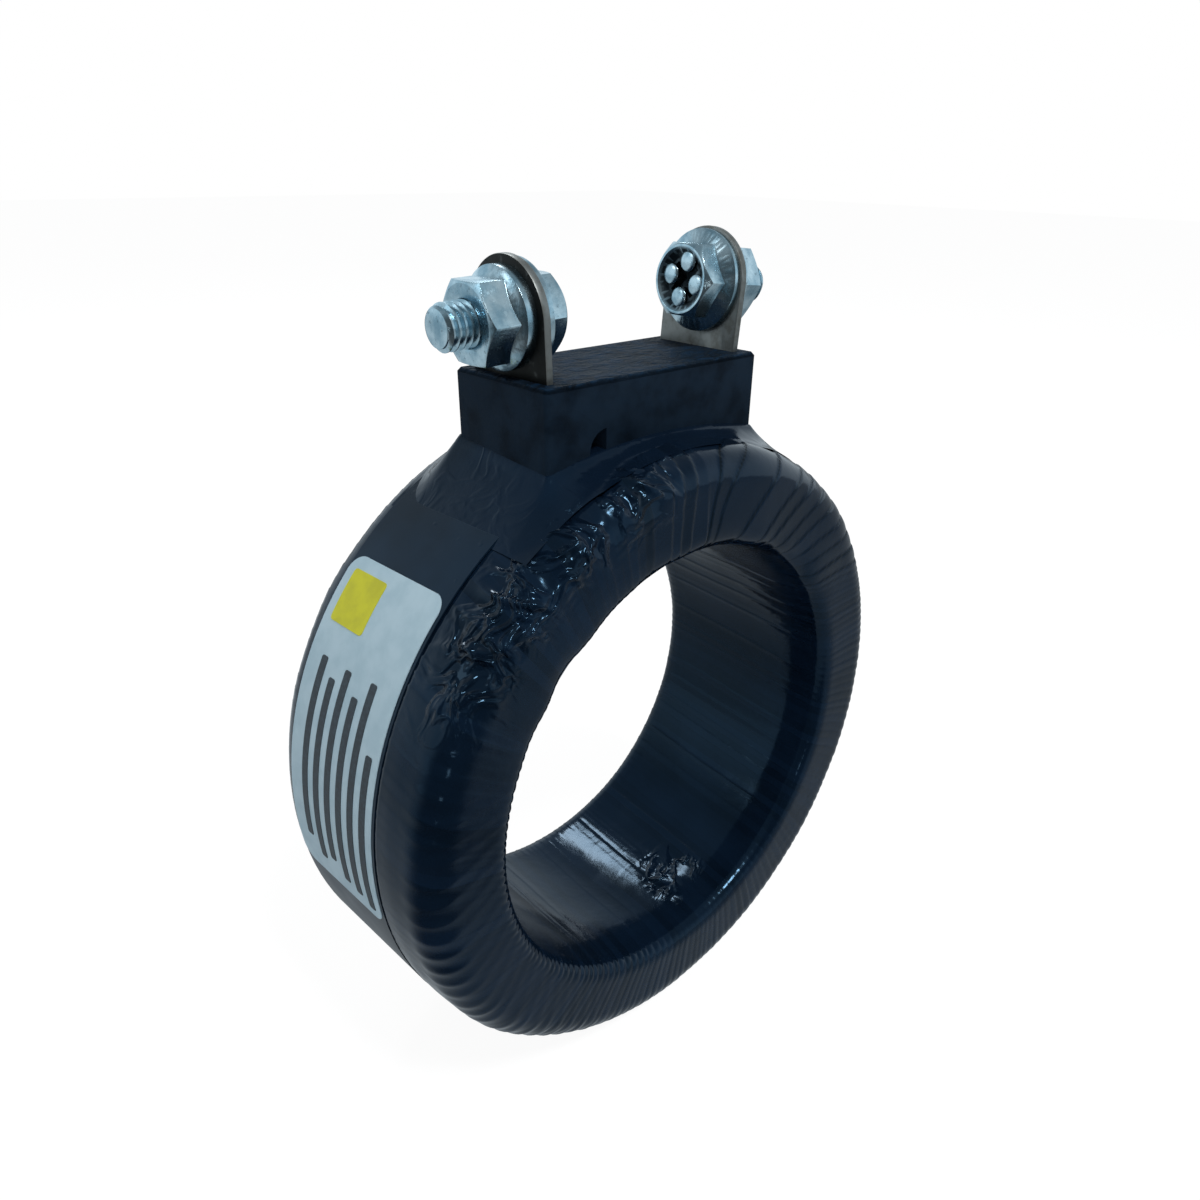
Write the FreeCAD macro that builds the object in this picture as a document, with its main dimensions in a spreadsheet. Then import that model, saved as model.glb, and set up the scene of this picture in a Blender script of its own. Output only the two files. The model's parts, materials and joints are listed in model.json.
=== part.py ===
# Window-type current transformer: a tape-wound ring that stands on its rim, with a moulded
# terminal block on its crown and two screw terminals.
#
# Frame: millimetres, +Z up. The origin is the centre of the window, whose axis is +Y.
# The camera's side of the ring is the front, at -Y. Left is -X and right is +X.
import FreeCAD, Part

import math
import os

import Sketcher

DRIVING_SIZES = {
    # ring as it is measured outside: over the band and the laps of tape
    "window_diameter": 72.0,
    "ring_wall": 16.0,
    "ring_depth": 40.0,
    "bore_corner_radius": 2.6,
    "rim_corner_radius": 5.0,
    "foot_flat_depth": 0.25,
    # walls of the layers, from the outside inwards
    "tape_wall": 1.2,
    "film_wall": 0.3,
    "winding_wall": 1.6,
    "sleeve_wall": 0.5,
    "edge_ring_wall": 0.8,
    "edge_ring_bevel": 0.5,
    "winding_gap_angle": 6.0,
    # laps that the wound tape leaves on the faces and round the corners
    "lap_height": 0.3,
    "lap_count": 72.0,
    "lap_share": 0.58,
    "lap_margin": 0.5,
    "lap_run_in_length": 2.0,
    # smooth band of tape round the rim, measured from the ring's two faces
    "band_front_margin": 11.8,
    "band_rear_margin": 5.6,
    "band_clearance": 0.05,
    # terminal block and the tape gathered round its foot; heights are above the ring's outside
    "block_length": 42.0,
    "block_width": 19.4,
    "block_height": 9.6,
    "block_corner_radius": 0.8,
    "block_top_bevel": 0.5,
    "foot_length": 5.5,
    "foot_wall": 2.2,
    "foot_tip_wall": 0.6,
    "foot_width": 15.0,
    "notch_radius": 3.0,
    "notch_side": 10.5,
    "notch_depth": 3.4,
    "notch_floor_height": 0.2,
    "collar_margin": 2.2,
    "collar_lip_width": 0.2,
    "collar_end_wall": 4.0,
    "collar_crown_height": 0.5,
    "collar_end_length": 7.5,
    # terminal blades
    "blade_width": 15.2,
    "blade_wall": 1.2,
    "blade_tail": 8.2,
    "blade_inset": 1.9,
    "blade_setback": 0.1,
    "blade_hole_diameter": 6.6,
    "left_blade_angle": 2.0,
    "right_blade_angle": 5.5,
    "slot_clearance": 0.05,
    # M6 flange bolts and flange nuts
    "left_bolt_height": 7.4,
    "right_bolt_height": 9.3,
    "thread_diameter": 6.0,
    "thread_clearance": 0.05,
    "thread_tip_bevel": 0.6,
    "bolt_length": 12.0,
    "hex_width": 10.0,
    "hex_face_diameter": 9.6,
    "head_height": 5.2,
    "head_bevel": 1.0,
    "head_flange_diameter": 14.4,
    "head_flange_wall": 1.0,
    "head_flange_cone": 0.9,
    "head_dish_diameter": 9.0,
    "head_dish_floor_diameter": 6.4,
    "head_dish_depth": 1.1,
    "recess_width": 1.5,
    "recess_length": 5.6,
    "recess_depth": 2.6,
    "nut_height": 6.4,
    "nut_bevel": 0.5,
    "nut_flange_diameter": 13.0,
    "nut_flange_wall": 1.6,
    "nut_flange_cone": 0.9,
    # leads from the winding to the blades; depths are below the block's top
    "lead_inset": 3.25,
    "lead_diameter": 1.4,
    "lead_depth": 5.4,
    "lead_sleeve_diameter": 2.6,
    "lead_sleeve_depth": 8.0,
    "lead_clearance": 0.1,
    "pocket_inner_margin": 3.1,
    "pocket_outer_margin": 2.75,
    "pocket_width": 10.0,
    "pocket_roof_wall": 4.4,
    "solder_diameter": 2.4,
    "solder_depth": 6.6,
    # label stuck round the band; angles from the crown towards the left
    "label_wall": 0.12,
    "print_wall": 0.08,
    "label_middle_angle": 72.5,
    "label_span_angle": 56.0,
    "label_front_margin": 0.6,
    "label_rear_margin": 0.2,
    "label_corner_radius": 2.4,
    "patch_width": 8.1,
    "patch_middle_angle": 51.2,
    "patch_margin": 1.75,
    "patch_corner_radius": 0.6,
    "bar_width": 1.5,
    "bar_corner_radius": 0.35,
    "bar_front_margin": 2.2,
    "bar_rear_margin": 4.1,
}

# Start and end angle of each printed bar, from the front of the label to the rear.
BAR_ANGLES = ((70.5, 98.5), (60.5, 97.5), (64.0, 97.0), (61.0, 94.5), (63.5, 96.0), (61.0, 93.0))

# How many straight facets make each corner of the wound layers.
RIM_FACETS = 3
BORE_FACETS = 2

# How far a cutting form reaches past the piece that it cuts, and the angle of the cross recess.
OVERRUN = 1.0
RECESS_ANGLE = 45.0
TOLERANCE = 1e-6

SIDES = {"left": -1, "right": 1}
X_AXIS = FreeCAD.Vector(1, 0, 0)
Y_AXIS = FreeCAD.Vector(0, 1, 0)
Z_AXIS = FreeCAD.Vector(0, 0, 1)
ORIGIN = FreeCAD.Vector(0, 0, 0)

doc = FreeCAD.newDocument("current_transformer")
sheet = doc.addObject("Spreadsheet::Sheet", "sizes")
for row, (alias, size) in enumerate(DRIVING_SIZES.items(), start=1):
    sheet.set("A%d" % row, alias)
    sheet.set("B%d" % row, str(size))
    sheet.setAlias("B%d" % row, alias)
doc.recompute()

NODES = []


def number(expression):
    """The value of an expression over the sheet's cells, as a plain number."""
    return float(sheet.evalExpression(expression))


def node(item, name):
    """Names a finished piece and puts it on the list of pieces."""
    item.Label = name
    NODES.append(item)
    return item


def bind(item, **expressions):
    """Binds properties of an object to expressions over the sheet."""
    for name, expression in expressions.items():
        item.setExpression(name.replace("__", "."), expression)
    return item


class Envelope:
    """Section of one boundary of the ring, as expressions: two radii, half depth and two corner radii."""

    def __init__(self, bore, rim, face, bore_corner, rim_corner):
        self.bore, self.rim, self.face = bore, rim, face
        self.bore_corner, self.rim_corner = bore_corner, rim_corner

    def inset(self, wall):
        """The boundary that lies one wall inside this one."""
        return Envelope("(%s + %s)" % (self.bore, wall), "(%s - %s)" % (self.rim, wall),
                        "(%s - %s)" % (self.face, wall), "(%s - %s)" % (self.bore_corner, wall),
                        "(%s - %s)" % (self.rim_corner, wall))

    def corners(self):
        """The section's points, anticlockwise, with each corner as a few straight facets."""
        rim_x = "%s - %s" % (self.rim, self.rim_corner)
        rim_y = "(%s - %s)" % (self.face, self.rim_corner)
        bore_x = "%s + %s" % (self.bore, self.bore_corner)
        bore_y = "(%s - %s)" % (self.face, self.bore_corner)
        return (facet_points(rim_x, "-" + rim_y, self.rim_corner, -90, RIM_FACETS)
                + facet_points(rim_x, rim_y, self.rim_corner, 0, RIM_FACETS)
                + facet_points(bore_x, bore_y, self.bore_corner, 90, BORE_FACETS)
                + facet_points(bore_x, "-" + bore_y, self.bore_corner, 180, BORE_FACETS))

    def bevelled_corners(self, bevel):
        """The section's points with one plain bevel at each corner."""
        bore, rim, face = self.bore, self.rim, self.face
        return [("%s - %s" % (rim, bevel), "-" + face), (rim, "-%s + %s" % (face, bevel)),
                (rim, "%s - %s" % (face, bevel)), ("%s - %s" % (rim, bevel), face),
                ("%s + %s" % (bore, bevel), face), (bore, "%s - %s" % (face, bevel)),
                (bore, "-%s + %s" % (face, bevel)), ("%s + %s" % (bore, bevel), "-" + face)]


def facet_points(middle_x, middle_y, radius, start_angle, facets):
    """Points of a quarter turn made of straight facets, as pairs of expressions."""
    angles = [start_angle + 90 * step / facets for step in range(facets + 1)]
    return [("%s + %s * cos(%g deg)" % (middle_x, radius, angle),
             "%s + %s * sin(%g deg)" % (middle_y, radius, angle)) for angle in angles]


TAPE = Envelope("(sizes.window_diameter / 2)",
                "(sizes.window_diameter / 2 + sizes.ring_wall - sizes.lap_height)",
                "(sizes.ring_depth / 2 - sizes.lap_height)", "sizes.bore_corner_radius",
                "sizes.rim_corner_radius")
FILM = TAPE.inset("sizes.tape_wall")
WINDING = FILM.inset("sizes.film_wall")
HOLLOW = WINDING.inset("sizes.winding_wall")
CORE_FACE = "(%s - sizes.edge_ring_wall)" % HOLLOW.face
CORE_BORE = "(%s + sizes.sleeve_wall)" % HOLLOW.bore
CORE_RIM = "(%s - sizes.sleeve_wall)" % HOLLOW.rim
OUTER_RADIUS = "(sizes.window_diameter / 2 + sizes.ring_wall)"
LAP_START = "%s + %s + sizes.lap_margin" % (TAPE.bore, TAPE.bore_corner)
BAND_FRONT = "(sizes.ring_depth / 2 - sizes.band_front_margin)"
BAND_REAR = "(sizes.ring_depth / 2 - sizes.band_rear_margin)"
BAND_EDGES = {-1: "-%s - sizes.band_clearance" % BAND_FRONT, 1: "%s + sizes.band_clearance" % BAND_REAR}
SEAT_FLAT = "(%s - sizes.foot_flat_depth)" % TAPE.rim
BAND_BORE = "(%s + sizes.band_clearance)" % TAPE.rim
FOOT_FLAT = "(%s - sizes.foot_flat_depth)" % OUTER_RADIUS
LABEL_FACE = "(%s + sizes.label_wall)" % OUTER_RADIUS
BLOCK_TOP = "(%s + sizes.block_height)" % OUTER_RADIUS
BLADE_MIDDLE = "(sizes.block_length / 2 - sizes.blade_inset - sizes.blade_wall / 2)"
LEAD_SIDE = "(%s - sizes.lead_inset)" % BLADE_MIDDLE
SOLDER_HEIGHT = "(%s - sizes.solder_depth)" % BLOCK_TOP


def new_body(name):
    return doc.addObject("PartDesign::Body", name)


def new_sketch(body, plane_role, name="sketch"):
    """A sketch on one of the body's own origin planes."""
    sketch = body.newObject("Sketcher::SketchObject", name)
    plane = [item for item in body.Origin.OriginFeatures if item.Role == plane_role][0]
    sketch.AttachmentSupport = (plane, [""])
    sketch.MapMode = "FlatFace"
    return sketch


def constrain(sketch, kind, *arguments, expression=None):
    """Adds a constraint, and binds its value where an expression is given."""
    if expression is None:
        return sketch.addConstraint(Sketcher.Constraint(kind, *arguments))
    index = sketch.addConstraint(Sketcher.Constraint(kind, *arguments, number(expression)))
    sketch.setExpression("Constraints[%d]" % index, expression)
    return index


def point(x, y):
    return FreeCAD.Vector(x, y, 0)


def arc(middle, radius, start_angle, end_angle):
    circle = Part.Circle(middle, Z_AXIS, radius)
    return Part.ArcOfCircle(circle, math.radians(start_angle), math.radians(end_angle))


def add_rounded_loop(sketch, low_x, high_x, low_y, high_y, low_corner, high_corner):
    """A closed rectangle with round corners; the low corners are those at the low x."""
    left, right, bottom, top = (number(edge) for edge in (low_x, high_x, low_y, high_y))
    near, far = number(low_corner), number(high_corner)
    first = sketch.GeometryCount
    sketch.addGeometry([
        Part.LineSegment(point(left + near, bottom), point(right - far, bottom)),
        arc(point(right - far, bottom + far), far, -90, 0),
        Part.LineSegment(point(right, bottom + far), point(right, top - far)),
        arc(point(right - far, top - far), far, 0, 90),
        Part.LineSegment(point(right - far, top), point(left + near, top)),
        arc(point(left + near, top - near), near, 90, 180),
        Part.LineSegment(point(left, top - near), point(left, bottom + near)),
        arc(point(left + near, bottom + near), near, 180, 270)], False)
    for step in range(8):
        constrain(sketch, "Tangent", first + step, 2, first + (step + 1) % 8, 1)
    for step, kind in ((0, "Horizontal"), (2, "Vertical"), (4, "Horizontal"), (6, "Vertical")):
        constrain(sketch, kind, first + step)
    constrain(sketch, "Equal", first + 1, first + 3)
    constrain(sketch, "Equal", first + 5, first + 7)
    constrain(sketch, "Radius", first + 1, expression=high_corner)
    constrain(sketch, "Radius", first + 5, expression=low_corner)
    constrain(sketch, "DistanceX", -1, 1, first + 2, 1, expression=high_x)
    constrain(sketch, "DistanceX", -1, 1, first + 6, 1, expression=low_x)
    constrain(sketch, "DistanceY", -1, 1, first + 4, 1, expression=high_y)
    constrain(sketch, "DistanceY", -1, 1, first, 1, expression=low_y)


def add_circle(sketch, radius, middle_x="0", middle_y="0"):
    """A circle with a bound radius and middle."""
    middle = point(number(middle_x), number(middle_y))
    index = sketch.addGeometry(Part.Circle(middle, Z_AXIS, number(radius)), False)
    constrain(sketch, "Radius", index, expression=radius)
    if middle_x == "0" and middle_y == "0":
        constrain(sketch, "Coincident", index, 3, -1, 1)
    else:
        constrain(sketch, "DistanceX", -1, 1, index, 3, expression=middle_x)
        constrain(sketch, "DistanceY", -1, 1, index, 3, expression=middle_y)


def add_polygon(sketch, corners):
    """A closed polygon whose corners are pairs of expressions."""
    points = [point(number(x), number(y)) for x, y in corners]
    count = len(corners)
    first = sketch.GeometryCount
    lines = [Part.LineSegment(points[step], points[(step + 1) % count]) for step in range(count)]
    sketch.addGeometry(lines, False)
    for step, (x, y) in enumerate(corners):
        constrain(sketch, "Coincident", first + step, 2, first + (step + 1) % count, 1)
        constrain(sketch, "DistanceX", -1, 1, first + step, 1, expression=x)
        constrain(sketch, "DistanceY", -1, 1, first + step, 1, expression=y)


def pad(body, sketch, length, midplane=False, reverse=False):
    feature = body.newObject("PartDesign::Pad", "pad")
    feature.Profile = sketch
    feature.Midplane = midplane
    feature.Reversed = reverse
    bind(feature, Length=length)
    return feature


def pocket(body, sketch, length, midplane=False, reverse=False):
    feature = body.newObject("PartDesign::Pocket", "pocket")
    feature.Profile = sketch
    feature.Midplane = midplane
    feature.Reversed = reverse
    bind(feature, Length=length)
    return feature


def revolve(body, sketch, kind="PartDesign::Revolution", angle="360"):
    """Turns a sketch about its own upright axis, to add or to remove material."""
    feature = body.newObject(kind, "revolve")
    feature.Profile = sketch
    feature.ReferenceAxis = (sketch, ["V_Axis"])
    bind(feature, Angle=angle)
    return feature


def cut(name, base, *tools):
    """A boolean cut of one object by one or more others."""
    result = doc.addObject("Part::Cut", name)
    result.Base = base
    result.Tool = tools[0] if len(tools) == 1 else fuse(name + "_tools", *tools)
    return result


def fuse(name, *items):
    result = doc.addObject("Part::MultiFuse", name)
    result.Shapes = list(items)
    return result


def common(name, *items):
    result = doc.addObject("Part::MultiCommon", name)
    result.Shapes = list(items)
    return result


def box(name, low_x, low_y, low_z, length, width, height):
    """A box from its lowest corner and its sizes along X, Y and Z."""
    item = doc.addObject("Part::Box", name)
    return bind(item, Length=length, Width=width, Height=height, Placement__Base__x=low_x,
                Placement__Base__y=low_y, Placement__Base__z=low_z)


def upright_rod(name, x, y, low_z, high_z, radius):
    item = doc.addObject("Part::Cylinder", name)
    return bind(item, Radius=radius, Height="%s - %s" % (high_z, low_z), Placement__Base__x=x,
                Placement__Base__y=y, Placement__Base__z=low_z)


def window_rod(name, radius, low_y, high_y):
    """A cylinder about the window's axis."""
    item = doc.addObject("Part::Cylinder", name)
    item.Placement = FreeCAD.Placement(ORIGIN, FreeCAD.Rotation(X_AXIS, -90))
    return bind(item, Radius=radius, Height="%s - %s" % (high_y, low_y), Placement__Base__y=low_y)


def tube(name, bore, rim, depth, middle="0"):
    """A plain tube about the window's axis."""
    body = new_body(name)
    sketch = new_sketch(body, "XZ_Plane")
    add_circle(sketch, rim)
    add_circle(sketch, bore)
    pad(body, sketch, depth, midplane=True)
    return bind(body, Placement__Base__y=middle)


# Core: a coil of steel strip with a cap ring on each edge and a sleeve inside and outside

def make_core():
    node(tube("core", CORE_BORE, CORE_RIM, "2 * " + CORE_FACE), "steel_core")
    node(tube("bore_sleeve", HOLLOW.bore, CORE_BORE, "2 * " + CORE_FACE), "core_bore_sleeve")
    node(tube("rim_sleeve", CORE_RIM, HOLLOW.rim, "2 * " + CORE_FACE), "core_rim_sleeve")
    for name, side in (("core_edge_ring_front", "-1"), ("core_edge_ring_rear", "1")):
        node(make_edge_ring(name, side), name)


def make_edge_ring(name, side):
    """A cap ring whose two outward edges are bevelled, so that the wire bends over them."""
    middle = "%s * (%s + sizes.edge_ring_wall / 2)" % (side, CORE_FACE)
    body = tube(name, HOLLOW.bore, HOLLOW.rim, "sizes.edge_ring_wall", middle)
    doc.recompute()
    outward = float(side) * number("sizes.edge_ring_wall") / 2
    last = body.Tip
    edges = ["Edge%d" % index for index, edge in enumerate(last.Shape.Edges, start=1)
             if max(abs(edge.BoundBox.YMin - outward), abs(edge.BoundBox.YMax - outward)) < TOLERANCE]
    bevel = body.newObject("PartDesign::Chamfer", "bevel")
    bevel.Base = (last, edges)
    bind(bevel, Size="sizes.edge_ring_bevel")
    return body


# Winding and the film and tape wound over it

def make_winding():
    """The turns of wire as one hollow shell, open where the first and last turn face each other."""
    body = new_body("winding")
    sketch = new_sketch(body, "XY_Plane")
    add_polygon(sketch, WINDING.corners())
    add_polygon(sketch, HOLLOW.bevelled_corners("sizes.edge_ring_bevel"))
    feature = revolve(body, sketch, angle="360 - sizes.winding_gap_angle")
    feature.Midplane = True
    body.Placement = FreeCAD.Placement(ORIGIN, FreeCAD.Rotation(Y_AXIS, 90))
    return node(body, "secondary_winding")


def make_lead_holes():
    """Two rods that clear the lead sleeves through the film and the tape."""
    radius = "sizes.lead_sleeve_diameter / 2 + sizes.lead_clearance"
    rods = [upright_rod("lead_hole_" + side, "%d * %s" % (sign, LEAD_SIDE), "sizes.blade_setback",
                        "(%s - sizes.winding_wall)" % WINDING.rim, BLOCK_TOP, radius)
            for side, sign in SIDES.items()]
    return fuse("lead_holes", *rods)


def make_film(lead_holes):
    body = new_body("film")
    sketch = new_sketch(body, "XY_Plane")
    add_polygon(sketch, FILM.corners())
    add_polygon(sketch, WINDING.corners())
    revolve(body, sketch)
    return node(cut("film_with_holes", body, lead_holes), "film_wrap")


def points_of(path):
    """Section points from pairs of expressions: radius along X, depth along Y."""
    return [point(number(x), number(y)) for x, y in path]


def turned(points, angle):
    """Section points turned about the window's axis."""
    turn = FreeCAD.Rotation(Y_AXIS, angle)
    return [turn.multVec(item) for item in points]


def closed_face(points):
    return Part.Face(Part.makePolygon([*points, points[0]]))


def flat_facets(points, low_angle, high_angle):
    """Flat faces that join the same section points at two angles."""
    low, high = turned(points, low_angle), turned(points, high_angle)
    return [closed_face(corners) for corners in zip(low, low[1:], high[1:], high)]


def corner_path(side, radius):
    """Facets of one outer corner of the ring, from its face out to its rim."""
    middle_x = "%s - %s" % (TAPE.rim, TAPE.rim_corner)
    middle_y = "(%s - %s)" % (TAPE.face, TAPE.rim_corner)
    if side < 0:
        return facet_points(middle_x, "-" + middle_y, radius, -90, RIM_FACETS)
    return facet_points(middle_x, middle_y, radius, 0, RIM_FACETS)[::-1]


def plain_path(side):
    """Section of the tape between laps on one face, from the laps' inner end to the band."""
    return [(LAP_START, "%d * %s" % (side, TAPE.face)), *corner_path(side, TAPE.rim_corner),
            (TAPE.rim, BAND_EDGES[side])]


def lap_path(side):
    """Section of a lap on one face: it rises from the same inner end and steps down at the band."""
    return [(LAP_START, "%d * %s" % (side, TAPE.face)),
            (LAP_START + " + sizes.lap_run_in_length", "%d * (%s + sizes.lap_height)" % (side, TAPE.face)),
            *corner_path(side, "(%s + sizes.lap_height)" % TAPE.rim_corner),
            (OUTER_RADIUS, BAND_EDGES[side]), (TAPE.rim, BAND_EDGES[side])]


def make_bore_skin():
    """The round bore of the tape with its two faceted corners."""
    middle_x = "%s + %s" % (TAPE.bore, TAPE.bore_corner)
    middle_y = "(%s - %s)" % (TAPE.face, TAPE.bore_corner)
    path = (facet_points(middle_x, middle_y, TAPE.bore_corner, 90, BORE_FACETS)
            + facet_points(middle_x, "-" + middle_y, TAPE.bore_corner, 180, BORE_FACETS))
    return Part.makePolygon(points_of(path)).revolve(ORIGIN, Y_AXIS, 360).Faces


def make_face_ring(side, edge_points):
    """The flat ring between the bore's corner and the inner ends of the laps on one face."""
    middle = FreeCAD.Vector(0, side * number(TAPE.face), 0)
    circle = Part.makeCircle(number("%s + %s" % (TAPE.bore, TAPE.bore_corner)), middle, Y_AXIS)
    outline = Part.makePolygon([*edge_points, edge_points[0]])
    return Part.makeFace([outline, Part.Wire(circle)], "Part::FaceMakerBullseye")


def make_tape(lead_holes, foot):
    """The wound tape: flat facets between the laps' edges, sewn to a round bore and cut to its fits."""
    plain = {side: points_of(plain_path(side)) for side in BAND_EDGES}
    lap = {side: points_of(lap_path(side)) for side in BAND_EDGES}
    inner_ends = {side: [] for side in BAND_EDGES}
    count = round(number("sizes.lap_count"))
    pitch = 360 / count
    half_lap = pitch * number("sizes.lap_share") / 2
    faces = make_bore_skin()
    for step in range(count):
        start, end = pitch * step - half_lap, pitch * step + half_lap
        faces += flat_facets(lap[-1] + lap[1][::-1], start, end)
        faces += flat_facets(plain[-1] + plain[1][::-1], end, start + pitch)
        for side, angle in ((-1, start), (-1, end), (1, start), (1, end)):
            faces.append(closed_face(turned(plain[side] + lap[side][-2:0:-1], angle)))
            inner_ends[side] += turned(plain[side][:1], angle)
    faces += [make_face_ring(side, points) for side, points in inner_ends.items()]
    skin = Part.makeCompound(faces)
    skin.sewShape()
    seat = box("band_seat", "-" + OUTER_RADIUS, "-" + BAND_FRONT, "-2 * " + OUTER_RADIUS,
               "2 * " + OUTER_RADIUS, "%s + %s" % (BAND_FRONT, BAND_REAR),
               "2 * %s - %s" % (OUTER_RADIUS, SEAT_FLAT))
    doc.recompute()
    inside = Part.Solid(closed_face(points_of(FILM.corners())).revolve(ORIGIN, Y_AXIS, 360))
    tape = doc.addObject("Part::Feature", "tape")
    tape.Shape = Part.Solid(skin.Shells[0]).cut([inside, lead_holes.Shape, seat.Shape, foot.Shape])
    return node(tape, "tape_wrap")


# Terminal block, the tape gathered round its foot, and the band

def make_ring_seat():
    """What the block and its collar sit on: the tape under the band, and the laps in front of it."""
    under_band = window_rod("tape_surface", TAPE.rim, "-" + OUTER_RADIUS, OUTER_RADIUS)
    under_laps = window_rod("lap_surface", OUTER_RADIUS, "-" + OUTER_RADIUS, "-" + BAND_FRONT)
    return fuse("ring_seat", under_band, under_laps)


def make_block(ring_seat, slots):
    """The moulded block: saddle below, a thin foot at each end, pockets and blade slots inside."""
    half_length, half_width = "sizes.block_length / 2", "sizes.block_width / 2"
    base = "(%s / 2)" % TAPE.rim
    body = new_body("block_form")
    sketch = new_sketch(body, "XY_Plane")
    add_rounded_loop(sketch, "-" + half_length, half_length, "-" + half_width, half_width,
                     "sizes.block_corner_radius", "sizes.block_corner_radius")
    block = pad(body, sketch, "%s - %s" % (BLOCK_TOP, base))
    doc.recompute()
    top = number("%s - %s" % (BLOCK_TOP, base))
    top_faces = ["Face%d" % index for index, face in enumerate(block.Shape.Faces, start=1)
                 if abs(face.BoundBox.ZMin - top) < TOLERANCE]
    bevel = body.newObject("PartDesign::Chamfer", "top_bevel")
    bevel.Base = (block, top_faces)
    bind(bevel, Size="sizes.block_top_bevel")
    bind(body, Placement__Base__z=base)
    tip_x = "(%s + sizes.foot_length)" % half_length
    feet = new_body("feet")
    sketch = new_sketch(feet, "XZ_Plane")
    root_z = "sqrt(%s^2 - (%s)^2) + sizes.foot_wall" % (TAPE.rim, half_length)
    tip_z = "sqrt(%s^2 - %s^2) + sizes.foot_tip_wall" % (TAPE.rim, tip_x)
    add_polygon(sketch, [("-" + tip_x, base), (tip_x, base), (tip_x, tip_z), (half_length, root_z),
                         ("-" + half_length, root_z), ("-" + tip_x, tip_z)])
    pad(feet, sketch, "sizes.foot_width", midplane=True)
    form = fuse("block_with_feet", body, feet)
    pocket_length = "(sizes.pocket_inner_margin + sizes.pocket_outer_margin)"
    starts = {"left": "-%s - sizes.pocket_outer_margin" % LEAD_SIDE,
              "right": "%s - sizes.pocket_inner_margin" % LEAD_SIDE}
    pockets = [box("lead_pocket_" + side, start, "sizes.blade_setback - sizes.pocket_width / 2", base,
                   pocket_length, "sizes.pocket_width",
                   "%s - sizes.pocket_roof_wall - %s" % (BLOCK_TOP, base)) for side, start in starts.items()]
    node(cut("block", form, ring_seat, make_notch(), *(pockets + slots)), "terminal_block")
    return form


def make_notch():
    """A quarter-round notch in the foot of the block's front wall, upright on its right side."""
    floor = "(%s + sizes.notch_floor_height)" % OUTER_RADIUS
    front = "(-sizes.block_width / 2)"
    start = "(%s - %g)" % (front, OVERRUN)
    rod = window_rod("notch_round", "sizes.notch_radius", start, front + " + sizes.notch_depth")
    bind(rod, Placement__Base__x="-sizes.notch_side", Placement__Base__z=floor)
    side = box("notch_half", "-sizes.notch_side - sizes.notch_radius", start,
               floor + " - sizes.notch_radius", "sizes.notch_radius",
               "sizes.notch_depth + %g" % OVERRUN, "2 * sizes.notch_radius")
    return common("notch", rod, side)


def make_collar(ring_seat, block_form):
    """Tape gathered round the block's foot: a low arch that slopes off to the ring all round."""
    half_length = "sizes.block_length / 2"
    tip_x = "(%s + sizes.collar_end_length)" % half_length
    tip_z = "sqrt(%s^2 - %s^2)" % (TAPE.rim, tip_x)
    base = "(%s / 2)" % TAPE.rim
    ends = "(sqrt(%s^2 - (%s)^2) + sizes.collar_end_wall)" % (TAPE.rim, half_length)
    crown = "(%s + sizes.collar_crown_height)" % OUTER_RADIUS
    body = new_body("collar_form")
    sketch = new_sketch(body, "XZ_Plane")
    shoulder, tip = number(half_length), number(tip_x)
    low, tip_height = number(base), number(tip_z)
    end_height, crown_height = number(ends), number(crown)
    top = Part.Arc(point(shoulder, end_height), point(0, crown_height), point(-shoulder, end_height))
    lines = [Part.LineSegment(point(-tip, low), point(tip, low)),
             Part.LineSegment(point(tip, low), point(tip, tip_height)),
             Part.LineSegment(point(tip, tip_height), point(shoulder, end_height)),
             top,
             Part.LineSegment(point(-shoulder, end_height), point(-tip, tip_height)),
             Part.LineSegment(point(-tip, tip_height), point(-tip, low))]
    sketch.addGeometry(lines, False)
    for step in range(6):
        constrain(sketch, "Coincident", step, 2, (step + 1) % 6, 1)
    for step, x, y in ((0, "-" + tip_x, base), (1, tip_x, base), (2, tip_x, tip_z), (3, half_length, ends),
                       (4, "-" + half_length, ends), (5, "-" + tip_x, tip_z)):
        constrain(sketch, "DistanceX", -1, 1, step, 1, expression=x)
        constrain(sketch, "DistanceY", -1, 1, step, 1, expression=y)
    rise = "(%s - %s)" % (crown, ends)
    constrain(sketch, "Radius", 3, expression="((%s)^2 + %s^2) / (2 * %s)" % (half_length, rise, rise))
    arch = pad(body, sketch, "sizes.block_width + 2 * sizes.collar_margin", midplane=True)
    doc.recompute()
    half_width = number("sizes.block_width / 2 + sizes.collar_margin")
    edges = ["Edge%d" % index for index, edge in enumerate(arch.Shape.Edges, start=1)
             if is_collar_rim(edge.BoundBox, half_width, tip_height)]
    slope = body.newObject("PartDesign::Chamfer", "slope")
    slope.Base = (arch, edges)
    bind(slope, Size="sizes.collar_margin - sizes.collar_lip_width")
    return node(cut("collar", body, ring_seat, block_form), "tape_collar")


def is_collar_rim(bounds, half_width, tip_height):
    """True for the edges round the top of the collar's front and rear faces."""
    flat = bounds.YMax - bounds.YMin < TOLERANCE
    return flat and abs(abs(bounds.YMin) - half_width) < TOLERANCE and bounds.ZMax > tip_height + TOLERANCE


def make_foot_plane():
    """Everything below the small flat that the ring stands on."""
    return box("foot_plane", "-" + OUTER_RADIUS, "-sizes.ring_depth", "-2 * " + OUTER_RADIUS,
               "2 * " + OUTER_RADIUS, "2 * sizes.ring_depth", "2 * %s - %s" % (OUTER_RADIUS, FOOT_FLAT))


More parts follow.
